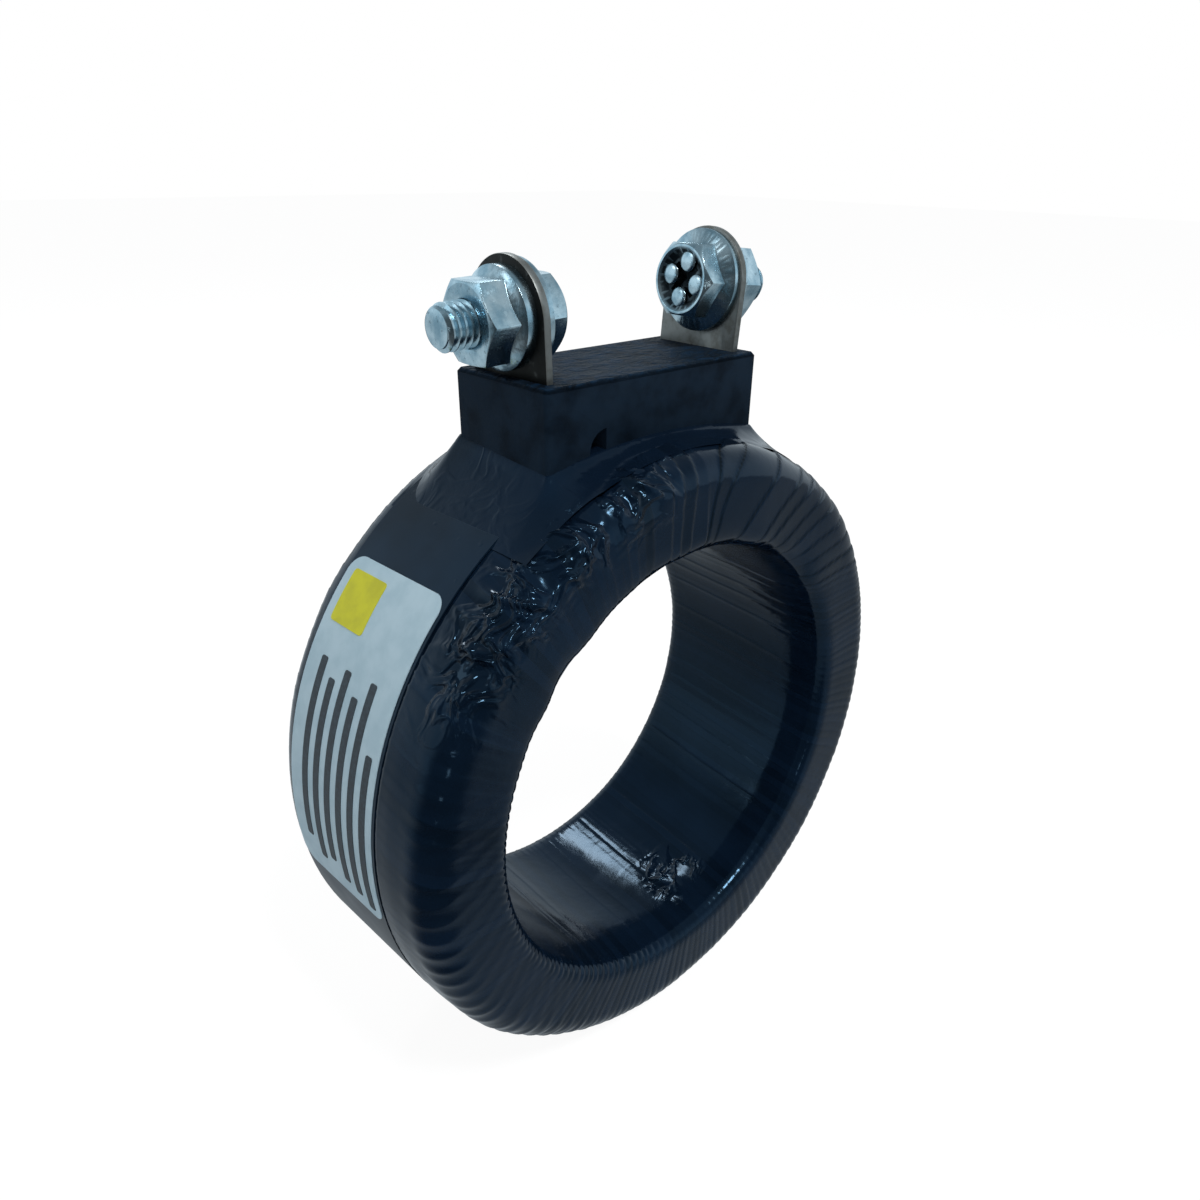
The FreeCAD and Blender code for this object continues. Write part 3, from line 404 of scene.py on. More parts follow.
FINISHES: tuple[Finish, ...] = (
    TapeFinish("black_tape"),
    BandFinish("black_band"),
    MouldingFinish("black_moulding"),
    ZincFinish("zinc_steel"),
    TinFinish("tinned_copper"),
    TurnsFinish("copper_wire"),
    SpeckledFinish("label_film", srgb(171, 197, 210), srgb(159, 187, 201), 0.42, 260, 0.00004),
    SpeckledFinish("label_yellow", srgb(198, 198, 26), srgb(182, 182, 34), 0.42, 300, 0.00003),
    SpeckledFinish("label_ink", srgb(27, 38, 47), srgb(44, 58, 68), 0.45, 1800, 0.00001),
    SpeckledFinish("core_steel", srgb(120, 124, 128), srgb(88, 92, 98), 0.3, 300, 0.00002, (1, 12, 1), 1.0),
    SpeckledFinish("core_paper", srgb(176, 150, 104), srgb(150, 124, 82), 0.8, 500),
    SpeckledFinish("clear_film", srgb(206, 204, 190), srgb(186, 184, 172), 0.15, 200, 0.00003, alpha=0.45),
    SpeckledFinish("sleeving", srgb(196, 178, 128), srgb(170, 150, 100), 0.6, 1500, 0.00008),
    SpeckledFinish("solder", srgb(186, 188, 190), srgb(150, 152, 156), 0.24, 900, 0.00005, metallic=1.0),
)


# Meshes

def add_object(name: str, data: bpy.types.ID) -> bpy.types.Object:
    """Puts an object with this data in the scene."""
    made = bpy.data.objects.new(name, data)
    bpy.context.scene.collection.objects.link(made)
    return made


def new_piece(name: str, mesh: bmesh.types.BMesh, slot: str, body: str, *nodes: str) -> None:
    """Makes an object of a mesh and hangs it on a body.

    Args:
        name: The piece's name.
        mesh: Its shape, which is freed.
        slot: The finish that it takes.
        body: The body that it rides on.
        *nodes: Solids that it stands for.
    """
    data = bpy.data.meshes.new(name)
    mesh.to_mesh(data)
    mesh.free()
    made = add_object(name, data)
    data.materials.append(bpy.data.materials[slot + "_finish"])
    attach(made, body)
    if nodes:
        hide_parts(*nodes)
    triangles = sum(len(face.vertices) - 2 for face in data.polygons)
    LOG.info("%s: %d triangles", name, triangles)


def merged_copy(node: str) -> bmesh.types.BMesh:
    """A solid's mesh with its loose triangles joined and its flat faces made whole."""
    mesh = bmesh.new()
    mesh.from_mesh(frame["nodes"][node].data)
    bmesh.ops.remove_doubles(mesh, verts=mesh.verts, dist=1e-6)
    bmesh.ops.dissolve_limit(mesh, angle_limit=math.radians(0.6), verts=mesh.verts, edges=mesh.edges)
    return mesh


def soften(mesh: bmesh.types.BMesh, width: float, angle: float) -> None:
    """Rounds every edge that is sharper than an angle.

    Args:
        mesh: The mesh to change.
        width: How far the rounding reaches from the edge.
        angle: Edges that turn less than this many degrees stay as they are.
    """
    limit = math.radians(angle)
    sharp = [edge for edge in mesh.edges if len(edge.link_faces) == 2 and edge.calc_face_angle(0.0) > limit]
    bmesh.ops.bevel(mesh, geom=sharp, offset=width, offset_type="OFFSET", segments=2, profile=0.5,
                    affect="EDGES", material=-1, clamp_overlap=True)


def smooth(mesh: bmesh.types.BMesh, angle: float) -> None:
    """Shades a mesh smooth, except across edges that turn by more than an angle in degrees."""
    limit = math.radians(angle)
    for face in mesh.faces:
        face.smooth = True
    for edge in mesh.edges:
        edge.smooth = len(edge.link_faces) != 2 or edge.calc_face_angle(0.0) < limit


def write_map(mesh: bmesh.types.BMesh, name: str, numbers: Callable[[Any, Any], tuple[float, float]]) -> None:
    """Writes two numbers to each corner of a mesh.

    Args:
        mesh: The mesh to map.
        name: The map's name; it is made if the mesh has none.
        numbers: Gives the two numbers for a face and one of its vertices.
    """
    layer = mesh.loops.layers.uv.get(name) or mesh.loops.layers.uv.new(name)
    for face in mesh.faces:
        for loop in face.loops:
            loop[layer].uv = numbers(face, loop.vert)


def hump(value: float, middle: float, reach: float) -> float:
    """A smooth hump of height 1 at its middle, 0 from its reach on."""
    share = min(abs(value - middle) / reach, 1.0)
    return (1 - share * share) ** 2


def step(value: float, low: float, high: float) -> float:
    """0 below low and 1 above high, smooth between."""
    share = min(max((value - low) / (high - low), 0.0), 1.0)
    return share * share * (3 - 2 * share)


def zone(angle: float, low: float, high: float, soft: float) -> float:
    """1 between two angles in degrees, falling smoothly to 0 outside them."""
    return step(angle, low - soft, low + soft) * (1 - step(angle, high - soft, high + soft))


@dataclass(frozen=True)
class Lap:
    """One turn of tape: its start and end in turns, and how plainly its edge shows on face and bore, as a
    step and as painted shade.
    """

    start: float
    end: float
    on_face: float
    in_bore: float


@dataclass
class TapeSkin:
    """Tape wound round the ring: overlapping turns with pleats, teeth, lumps and puckers."""

    LAP_MAP = "laps"
    EDGE_SHADE_MAP = "edges"

    rim_radius: float = 51.72 * MM
    bore_radius: float = 36.3 * MM
    half_depth: float = 19.75 * MM
    rim_corner: float = 5.0 * MM
    bore_corner: float = 2.6 * MM
    front_bore_corner: float = 3.2 * MM
    front_start: float = -7.0 * MM
    rear_end: float = 13.4 * MM
    columns: int = 1000
    foot: float = 51.75 * MM
    lap_angle: float = 2.1
    pleats: int = 96
    corner_run: float = 11.8 * MM
    inner_run: float = 25.2 * MM
    rear_corner_run: float = 74.0 * MM
    wide_sector: tuple[float, float] = (308.0, 14.0)
    lap_height: float = 0.2 * MM
    rim_ribs: float = 0.13 * MM
    rear_ribs: float = 0.2 * MM
    face_ribs: float = 0.04 * MM
    tooth_depth: float = 0.16 * MM
    pleat_depth: float = 0.22 * MM
    faint_depth: float = 0.035 * MM
    lump_depth: float = 0.75 * MM
    edge_height: float = 0.26 * MM
    under_depth: float = 0.3 * MM
    roll_depth: float = 0.5 * MM
    level: float = 0.06 * MM
    highest: float = 0.27 * MM
    laps: list[Lap] = field(default_factory=list)
    starts: list[float] = field(default_factory=list)

    def build(self) -> None:
        """Spins the tape's path round the window and lays the laps on it."""
        self.laps = self._lay_laps()
        self.starts = [lap.start for lap in self.laps]
        mesh = bmesh.new()
        run = mesh.verts.layers.float.new("run")
        self._path(mesh, run)
        bmesh.ops.spin(mesh, geom=mesh.verts[:] + mesh.edges[:], cent=(0, 0, 0), axis=WINDOW_AXIS,
                       angle=math.tau, steps=self.columns, use_merge=True)
        bmesh.ops.recalc_face_normals(mesh, faces=mesh.faces)
        mesh.normal_update()
        places = [self.lap_at(self._turn(vert.co), vert[run]) for vert in mesh.verts]
        self._map(mesh, run, places)
        self._raise(mesh, run, places)
        smooth(mesh, 70)
        new_piece("tape_skin", mesh, "black_tape", "ring", "tape_wrap")

    @staticmethod
    def _turn(at: Vector) -> float:
        """Angle of a point from the crown towards the left, in turns."""
        return (math.atan2(-at.x, at.z) / math.tau) % 1.0

    def _lay_laps(self) -> list[Lap]:
        """Lays the turns of tape one after another, wider to the right of the crown."""
        chance = random.Random(23)
        laps = []
        at = 0.0
        wide_from, wide_to = self.wide_sector
        while at < 1.0:
            angle = at * 360
            width = self.lap_angle * chance.uniform(0.78, 1.25)
            if angle > wide_from or angle < wide_to:
                width = chance.uniform(2.0, 5.5) if angle < 338 else chance.uniform(3.5, 8.5)
            end = at + width / 360
            if end > 1.0 - self.lap_angle / 720:
                end = 1.0
            sharp = angle > wide_from - 2 or angle < wide_to
            plain = chance.uniform(0.6, 1.0) if sharp else chance.uniform(0.1, 0.5)
            in_bore = chance.choice((0.0, 0.0, 0.0, 0.1, 0.5) if angle < 300 else (0.0, 0.0, 0.2, 0.6))
            laps.append(Lap(at, end, plain, in_bore))
            at = end
        return laps

    def _path(self, mesh: bmesh.types.BMesh, run: Any) -> None:
        """Draws the section from the band's front edge round the window to its rear edge.

        Args:
            mesh: The mesh to draw in.
            run: Layer that gets the distance along the path.
        """
        corners = [(self.rim_radius, self.front_start), (self.rim_radius, -self.half_depth),
                   (self.bore_radius, -self.half_depth), (self.bore_radius, self.half_depth),
                   (self.rim_radius, self.half_depth), (self.rim_radius, self.rear_end)]
        verts = [mesh.verts.new((0, y, radius)) for radius, y in corners]
        for first, second in zip(verts, verts[1:]):
            mesh.edges.new((first, second))
        for vert, radius, segments in ((verts[1], self.rim_corner, 13), (verts[2], self.front_bore_corner, 8),
                                       (verts[3], self.bore_corner, 4), (verts[4], self.rim_corner, 6)):
            bmesh.ops.bevel(mesh, geom=[vert], offset=radius, offset_type="OFFSET", segments=segments,
                            profile=0.5, affect="VERTICES", material=-1)
        for edge in [edge for edge in mesh.edges if edge.calc_length() > 2 * MM]:
            middle = (edge.verts[0].co + edge.verts[1].co) / 2
            gap = (0.7 if middle.y < -8 * MM else 1.5) * MM
            cuts = max(int(edge.calc_length() / gap), 1)
            bmesh.ops.subdivide_edges(mesh, edges=[edge], cuts=cuts)
        mesh.verts.ensure_lookup_table()
        start = Vector((0, self.front_start, self.rim_radius))
        here = min(mesh.verts, key=lambda vert: (vert.co - start).length)
        seen, distance = {here}, 0.0
        while True:
            here[run] = distance
            near = [edge.other_vert(here) for edge in here.link_edges if edge.other_vert(here) not in seen]
            if not near:
                break
            distance += (near[0].co - here.co).length
            here = near[0]
            seen.add(here)

    def lap_at(self, turn: float, run: float) -> float:
        """The lap number, with its share, at an angle in turns and a run along the path."""
        angle = turn * 360
        lean = 0.22 + 0.5 * zone(angle, 290, 352, 10)
        outer = min(run - self.inner_run, 0.0) * lean
        inner = max(run - self.inner_run, 0.0) * 0.16
        wander = 0.5 * noise.noise(Vector((turn * 30, run * 55, 3.1)))
        place = (turn - (outer + inner) / (360 * MM) + wander / 360) % 1.0
        index = bisect_right(self.starts, place) - 1
        lap = self.laps[index]
        return index + min((place - lap.start) / (lap.end - lap.start), 0.9999)

    def _raise(self, mesh: bmesh.types.BMesh, run: Any, places: Sequence[float]) -> None:
        """Moves each vertex along its normal to lay laps, pleats and puckers.

        Args:
            mesh: The mesh to change.
            run: Layer with the distance along the path.
            places: Lap number and share of each vertex.
        """
        moves = [vert.normal * self._height(vert.co, self._turn(vert.co), vert[run], lap)
                 for vert, lap in zip(mesh.verts, places)]
        for vert, move in zip(mesh.verts, moves):
            vert.co += move
            vert.co.z = max(vert.co.z, -self.foot)

    def _height(self, at: Vector, turn: float, along: float, place: float) -> float:
        """How far the surface stands out at a point.

        Args:
            at: The point on the plain ring.
            turn: Its angle in turns.
            along: Its run along the path.
            place: Its lap number with its share.

        Returns:
            The height in metres, around zero.
        """
        angle = turn * 360
        lap = self.laps[int(place)]
        share = place % 1.0
        bore = self._bore_share(along)
        left = zone(angle, 66, 158, 12)
        ribbed = zone(angle, 136, 322, 14)
        crown = 1 - zone(angle, 62, 300, 14)
        corner = hump(along, self.corner_run, 5.8 * MM)
        rear_corner = hump(along, self.rear_corner_run, 6 * MM)
        face = step(along, 14 * MM, 17 * MM) * (1 - step(along, 22.5 * MM, 25 * MM))
        inner = hump(along, self.inner_run, 3.2 * MM)
        plain = lap.on_face * (1 - bore) + lap.in_bore * bore
        quiet = (1 - 0.75 * left) * (1 - 0.7 * inner)
        rise = share if angle > 200 else 1 - share
        shingle = self.lap_height * plain * quiet * rise ** 1.4
        tooth = 1 - math.sin(math.pi * share)
        ribs = self.rim_ribs * corner + self.rear_ribs * rear_corner + self.face_ribs * face
        ribs *= -tooth * ribbed
        teeth = -self.tooth_depth * tooth * inner
        teeth *= (1 - 0.7 * crown) * (1 - 0.9 * zone(angle, 176, 330, 10))
        bow = ((along - self.corner_run) / (5 * MM)) ** 2
        stray = noise.noise(Vector((turn * 60, 0, 5)))
        fold = abs(math.sin(math.pi * (turn * self.pleats + 0.3 * bow + 0.25 * stray)))
        uneven = 0.75 + 0.5 * noise.noise(Vector((turn * 50, 9, 1)))
        pleat = -self.pleat_depth * hump(along, self.corner_run, 5.6 * MM) * left * uneven * fold ** 1.2
        faint = -self.faint_depth * face * left * fold
        lumps = 0.5 + 0.9 * noise.noise(Vector((turn * 34, along * 90, 7.5)))
        lumps *= -self.lump_depth * hump(along, self.inner_run, 4.5 * MM) * crown
        swell = (0.1 + 0.22 * crown) * MM * noise.noise(at * 80) * step(along, 5 * MM, 9 * MM)
        loose = self._looseness(angle, along)
        pucker = self._pucker(at, turn, along) * loose if loose > 0.02 else 0.0
        edge = step(along, 0.8 * MM, 1.3 * MM) * (1 - step(along, 3.5 * MM, 8 * MM))
        flush = self.edge_height * edge * (1 - zone(angle, 18, 52, 10))
        under = -self.under_depth * (1 - step(along, 0.7 * MM, 1.2 * MM))
        roll = -self.roll_depth * step(along, 23 * MM, 27.5 * MM) * (1 - step(at.y, -16.4 * MM, -13 * MM))
        height = shingle + ribs + teeth + pleat + faint + lumps + swell + pucker + flush + under + roll
        lowest = (0.3 * inner - 0.85) * MM
        return max(min(height - self.level, self.highest), lowest)

    @staticmethod
    def _bore_share(along: float) -> float:
        """1 on the bore's wall, 0 on the faces and the rim."""
        return step(along, 26.5 * MM, 29 * MM) * (1 - step(along, 60 * MM, 62 * MM))

    @staticmethod
    def _looseness(angle: float, along: float) -> float:
        """How loose the tape lies: 1 beside the block and in the patch at the foot of the bore."""
        beside_block = zone(angle, 10, 58, 8) * hump(along, 10 * MM, 9.5 * MM)
        tail = step(along, 34 * MM, 48 * MM)
        in_bore = zone(angle, 187 + 8 * tail, 203 - 2 * tail, 2.5) * step(along, 30 * MM, 33 * MM)
        return max(beside_block, 0.8 * in_bore * (1 - tail))

    @staticmethod
    def _pucker(at: Vector, turn: float, along: float) -> float:
        """Height of the loose folds of the tape that was drawn up under the block."""
        bend = noise.noise_vector(at * 90) * 0.8
        across = Vector((turn * 52 + along * 90 + bend.x, along * 60 + bend.y, 2.0))
        ridge = max(1 - 3.6 * abs(noise.noise(across)), 0.0)
        fine = max(1 - 5.0 * abs(noise.noise(at * 230 + bend)), 0.0)
        return (0.85 * ridge ** 1.3 + 0.1 * fine ** 2 - 0.58) * MM

    def _map(self, mesh: bmesh.types.BMesh, run: Any, places: Sequence[float]) -> None:
        """Writes lap number and looseness, and each lap's width in millimetres and how dark the painted shade
        at its edge is.

        Args:
            mesh: The mesh to map.
            run: Layer with the distance along the path.
            places: Lap number and share of each vertex.
        """
        number = mesh.loops.layers.uv.new(self.LAP_MAP)
        edges = mesh.loops.layers.uv.new(self.EDGE_SHADE_MAP)
        marks = [self._mark(vert, vert[run], place) for vert, place in zip(mesh.verts, places)]
        slack = [self._looseness(self._turn(vert.co) * 360, vert[run]) for vert in mesh.verts]
        mesh.verts.index_update()
        count = len(self.laps)
        for face in mesh.faces:
            numbers = [places[loop.vert.index] for loop in face.loops]
            highest = max(numbers)
            for loop, lap in zip(face.loops, numbers):
                lap += count if highest - lap > count / 2 else 0
                loop[number].uv = (lap, slack[loop.vert.index])
                loop[edges].uv = marks[loop.vert.index]

    def _mark(self, vert: bmesh.types.BMVert, along: float, place: float) -> tuple[float, float]:
        """A lap's width in millimetres at a vertex, and how dark the painted shade at its edge is there."""
        lap = self.laps[int(place)]
        angle = self._turn(vert.co) * 360
        radius = math.hypot(vert.co.x, vert.co.z)
        width = (lap.end - lap.start) * math.tau * radius / MM
        bore = self._bore_share(along)
        signed = (angle + 180) % 360 - 180
        plain = 0.3 + 0.7 * zone(signed, -64, 14, 8) - 0.25 * zone(angle, 60, 150, 10)
        # How dark the painted shade at the lap's edge is, on faces and in the bore.
        edge_shade = lap.on_face * plain * (1 - bore) + lap.in_bore * 0.9 * bore
        return width, edge_shade * step(along, 5 * MM, 9 * MM)


@dataclass
class GatheredTape:
    """Tape drawn up round the foot of the block: one sheet that runs off to the rim on all sides."""

    half_length: float = 21.0 * MM
    half_width: float = 9.7 * MM
    end_reach: float = 7.5 * MM
    side_reach: float = 2.4 * MM
    corner_reach: float = 3.0 * MM
    crown_height: float = 52.6 * MM
    end_height: float = 51.15 * MM
    rim: float = 51.98 * MM
    slope: float = 0.09
    lip_height: float = 0.3 * MM
    lip_reach: float = 0.45 * MM
    crease_depth: float = 0.5 * MM
    sink_depth: float = 0.35 * MM
    looseness: float = 0.04
    columns: int = 140
    rows: int = 76

    def build(self) -> None:
        """Lays a grid over the crown and draws it up to the block."""
        mesh = bmesh.new()
        bmesh.ops.create_grid(mesh, x_segments=self.columns, y_segments=self.rows, size=1.0)
        reach_x = self.half_length + self.end_reach + 1.2 * MM
        reach_y = self.half_width + self.side_reach + self.corner_reach + 0.3 * MM
        bmesh.ops.scale(mesh, vec=(reach_x, reach_y, 1), verts=mesh.verts)
        for vert in mesh.verts:
            vert.co.z = self._height(vert.co.x, vert.co.y)
        bmesh.ops.recalc_face_normals(mesh, faces=mesh.faces)
        write_map(mesh, TapeSkin.LAP_MAP, lambda face, vert: (0.5, self.looseness))
        write_map(mesh, TapeSkin.EDGE_SHADE_MAP, lambda face, vert: (5.0, 0.0))
        smooth(mesh, 60)
        new_piece("gathered_tape", mesh, "black_tape", "ring", "tape_collar")

    def _height(self, x: float, y: float) -> float:
        """Height of the sheet over a point of the plan."""
        ring = math.sqrt(self.rim ** 2 - x * x)
        share = min(abs(x) / self.half_length, 1.0)
        fall_to_end = self.crown_height - self.end_height
        crown = self.crown_height + (self.slope * y - fall_to_end) * share ** 2
        if abs(x) > self.half_length:
            end_ring = math.sqrt(self.rim ** 2 - self.half_length ** 2)
            crown = ring + self.end_height - end_ring + self.slope * y
        margin = self.side_reach + self.corner_reach * step(share, 0.4, 0.95)
        beyond_end = max(abs(x) - self.half_length, 0.0)
        beyond_side = max(abs(y) - self.half_width, 0.0)
        away = math.hypot(beyond_end / self.end_reach, beyond_side / margin)
        fall = max(1 - away, 0.0) ** 1.35
        lip = self.lip_height * math.exp(-min(max(beyond_end, beyond_side) / self.lip_reach, 20))
        fine = abs(noise.noise(Vector((x * 160, y * 60, 4.0))))
        coarse = noise.noise(Vector((x * 70, y * 90, 1.0)))
        crease = self.crease_depth * (0.5 * fine + 0.3 * coarse) * min(away * 3, 1.0)
        sink = self.sink_depth * min(max(away - 0.96, 0.0) * 4, 1.0)
        return ring + (crown - ring + lip - crease) * fall - sink


@dataclass
class ScrewTerminal:
    """A flange bolt and its flange nut: rounded edges, a rolled thread and the pads in the head's dish."""

    MAP = "dish_shade_map"

    side: str
    pitch: float = 1.0 * MM
    crest: float = 2.97 * MM
    root: float = 2.4 * MM
    blade_wall: float = 1.2 * MM
    length: float = 12.0 * MM
    tip: float = 0.6 * MM
    head_height: float = 5.2 * MM
    dish_radius: float = 4.5 * MM
    dish_end: float = -1.5 * MM
    pad_radius: float = 1.5 * MM
    pad_place: float = 2.65 * MM
    pad_depth: float = 0.85 * MM
    pad_turn: float = 0.22
    pad_flatness: float = 0.3
    steps: int = 36

    def build(self) -> None:
        """Builds the bolt and the nut."""
        joint = next(j for j in frame["joints"] if j["name"] == "bolt_%s_turn" % self.side)
        outward = -Vector(joint["axis"])
        seat = Vector(joint["pos_m"]) - outward * (self.blade_wall / 2)
        place = Matrix.Translation(seat) @ outward.to_track_quat("Z", "Y").to_matrix().to_4x4()
        self._bolt(place)
        self._nut()

    def _bolt(self, place: Matrix) -> None:
        """The head of the solid bolt with a threaded shank in place of the plain one."""
        node = "terminal_bolt_" + self.side
        head = merged_copy(node)
        head.transform(place.inverted())
        cut = bmesh.ops.bisect_plane(head, geom=head.verts[:] + head.edges[:] + head.faces[:],
                                     plane_co=(0, 0, 0.02 * MM), plane_no=(0, 0, 1), clear_outer=True)
        rim = [item for item in cut["geom_cut"] if isinstance(item, bmesh.types.BMEdge)]
        bmesh.ops.holes_fill(head, edges=rim)
        soften(head, 0.13 * MM, 25)
        smooth(head, 28)
        # Painted shade in the head's dish, darker deeper down.
        self._mark(head, 0.04 * MM, 0.2 * MM)
        self._add_pads(head)
        self._add_thread(head)
        head.transform(place)
        new_piece("bolt_" + self.side, head, "zinc_steel", "bolt_" + self.side, node)

    def _mark(self, mesh: bmesh.types.BMesh, shallow: float, deep: float) -> None:
        """Writes to the piece's map how deep each corner lies inside the head's dish, the mask of the painted
        shade there.

        Args:
            mesh: The mesh, its Z axis the bolt's.
            shallow: Depth at which the painted shade begins.
            deep: Depth from which it is full.
        """
        def dish_shade(_: Any, vert: bmesh.types.BMVert) -> tuple[float, float]:
            depth = vert.co.z + self.head_height
            inside = math.hypot(vert.co.x, vert.co.y) < self.dish_radius + 0.02 * MM
            return (step(depth, shallow, deep) if inside and vert.co.z < self.dish_end else 0.0), 0.0
        write_map(mesh, self.MAP, dish_shade)

    def _add_pads(self, mesh: bmesh.types.BMesh) -> None:
        """Adds the four round pads between the arms of the recess."""
        pads = bmesh.new()
        for quarter in range(4):
            angle = quarter * math.tau / 4 + self.pad_turn
            centre = (self.pad_place * math.cos(angle), self.pad_place * math.sin(angle),
                      self.pad_depth - self.head_height)
            flat = Matrix.Translation(centre) @ Matrix.Diagonal((1, 1, self.pad_flatness, 1))
            bmesh.ops.create_uvsphere(pads, u_segments=24, v_segments=14, radius=self.pad_radius, matrix=flat)
        smooth(pads, 80)
        # Painted shade on the pads, on all but their caps.
        self._mark(pads, 0.76 * MM, 0.95 * MM)
        self._join(mesh, pads)

    @staticmethod
    def _join(mesh: bmesh.types.BMesh, extra: bmesh.types.BMesh) -> None:
        """Adds one mesh to another and frees it."""
        data = bpy.data.meshes.new("extra")
        extra.to_mesh(data)
        extra.free()
        mesh.from_mesh(data)
        bpy.data.meshes.remove(data)

    def _add_thread(self, mesh: bmesh.types.BMesh) -> None:
        """Adds the thread and the core that closes its end."""
        thread = bmesh.new()
        profile = ((self.root, 0.0), (self.root, 0.12), (self.crest, 0.44),
                   (self.crest, 0.58), (self.root, 0.9), (self.root, 1.0))
        verts = [thread.verts.new((radius, 0, share * self.pitch)) for radius, share in profile]
        for first, second in zip(verts, verts[1:]):
            thread.edges.new((first, second))
        turns = round(self.length / self.pitch) + 1
        bmesh.ops.spin(thread, geom=thread.verts[:] + thread.edges[:], cent=(0, 0, 0), axis=(0, 0, 1),
                       angle=math.tau * turns, dvec=(0, 0, self.pitch / self.steps), steps=turns * self.steps)
        bmesh.ops.remove_doubles(thread, verts=thread.verts, dist=0.004 * MM)
        bmesh.ops.translate(thread, verts=thread.verts, vec=(0, 0, -self.pitch))
        for plane, outward in ((0.0, -1), (self.length, 1)):
            bmesh.ops.bisect_plane(thread, geom=thread.verts[:] + thread.edges[:] + thread.faces[:],
                                   plane_co=(0, 0, plane), plane_no=(0, 0, outward), clear_outer=True)
        for vert in thread.verts:
            radius = math.hypot(vert.co.x, vert.co.y)
            limit = self.crest - max(vert.co.z - (self.length - self.tip), 0.0)
            if radius > limit:
                vert.co.x *= limit / radius
                vert.co.y *= limit / radius
        bmesh.ops.recalc_face_normals(thread, faces=thread.faces)
        depth = self.length + 0.5 * MM
        radius = self.root + 0.04 * MM
        core = bmesh.new()
        bmesh.ops.create_cone(core, cap_ends=True, segments=self.steps, radius1=radius, radius2=radius,
                              depth=depth, matrix=Matrix.Translation((0, 0, self.length - depth / 2)))
        soften(core, 0.12 * MM, 40)
        for part in (thread, core):
            smooth(part, 40)
            self._mark(part, 1.0, 2.0)
            self._join(mesh, part)

    def _nut(self) -> None:
        """The solid nut with its edges rounded."""
        node = "terminal_nut_" + self.side
        mesh = merged_copy(node)
        soften(mesh, 0.15 * MM, 25)
        smooth(mesh, 28)
        write_map(mesh, self.MAP, lambda face, vert: (0.0, 0.0))
        new_piece("nut_" + self.side, mesh, "zinc_steel", "nut_" + self.side, node)


@dataclass
class Fittings:
    """Plain solids that only need their edges rounded: the blades and the moulded block."""

    MAP = "sides"

    blade_edge: float = 0.22 * MM
    block_edge: float = 0.3 * MM

    def build(self) -> None:
        """Builds the two blades and the block."""
        for side in ("left", "right"):
            self._round("terminal_blade_" + side, "blade_" + side, self.blade_edge, "tinned_copper")
        self._round("terminal_block", "block", self.block_edge, "black_moulding")

    def _round(self, node: str, name: str, width: float, slot: str) -> None:
        """Makes a piece of a solid with its sharp edges rounded, and maps which faces look outwards."""
        mesh = merged_copy(node)
        soften(mesh, width, 40)
        smooth(mesh, 32)
        mesh.normal_update()
        write_map(mesh, self.MAP, self._outward)
        new_piece(name, mesh, slot, "ring", node)

    @staticmethod
    def _outward(face: bmesh.types.BMFace, _: Any) -> tuple[float, float]:
        """One on the faces that look away from the block's middle."""
        outward = face.normal.x * math.copysign(1.0, face.calc_center_median().x) > 0.9
        return (1.0 if outward else 0.0), 0.0


# Studio

PHOTO_SIDE = 1200
SENSOR_SIDE = 36.0
LAMP_TARGET = Vector((0, 0, 10 * MM))
WHITE = (1.0, 1.0, 1.0, 1.0)


@dataclass
class Camera:
    """The camera that took the picture, as angles round the ring and sizes in metres."""

    azimuth: float = -44.2423
    elevation: float = 31.5885
    roll: float = 1.1088
    distance: float = 167.8622 * MM
    side_shift: float = 1.1868 * MM
    rise: float = 7.2919 * MM
    focal: float = 950.5453 / PHOTO_SIDE * SENSOR_SIDE
    frame_shift: tuple[float, float] = (-15.02 / PHOTO_SIDE, 80.01 / PHOTO_SIDE)

    def build(self) -> None:
        """Places the camera."""
        around, up = math.radians(self.azimuth), math.radians(self.elevation)
        back = Vector((math.sin(around) * math.cos(up), -math.cos(around) * math.cos(up), math.sin(up)))
        side = Vector((0, 0, 1)).cross(back).normalized()
        target = side * self.side_shift + back.cross(side) * self.rise
        place = back * self.distance
        back = (place - target).normalized()
        side = Vector((0, 0, 1)).cross(back).normalized()
        over = back.cross(side)
        turn = Matrix.Rotation(math.radians(self.roll), 3, back)
        axes = Matrix([turn @ side, turn @ over, back]).transposed()
        data = bpy.data.cameras.new("camera")
        data.sensor_width, data.lens = SENSOR_SIDE, self.focal
        data.shift_x, data.shift_y = self.frame_shift
        data.clip_start, data.clip_end = 0.01, 20.0
        made = add_object("camera", data)
        made.matrix_world = Matrix.Translation(place) @ axes.to_4x4()
        bpy.context.scene.camera = made


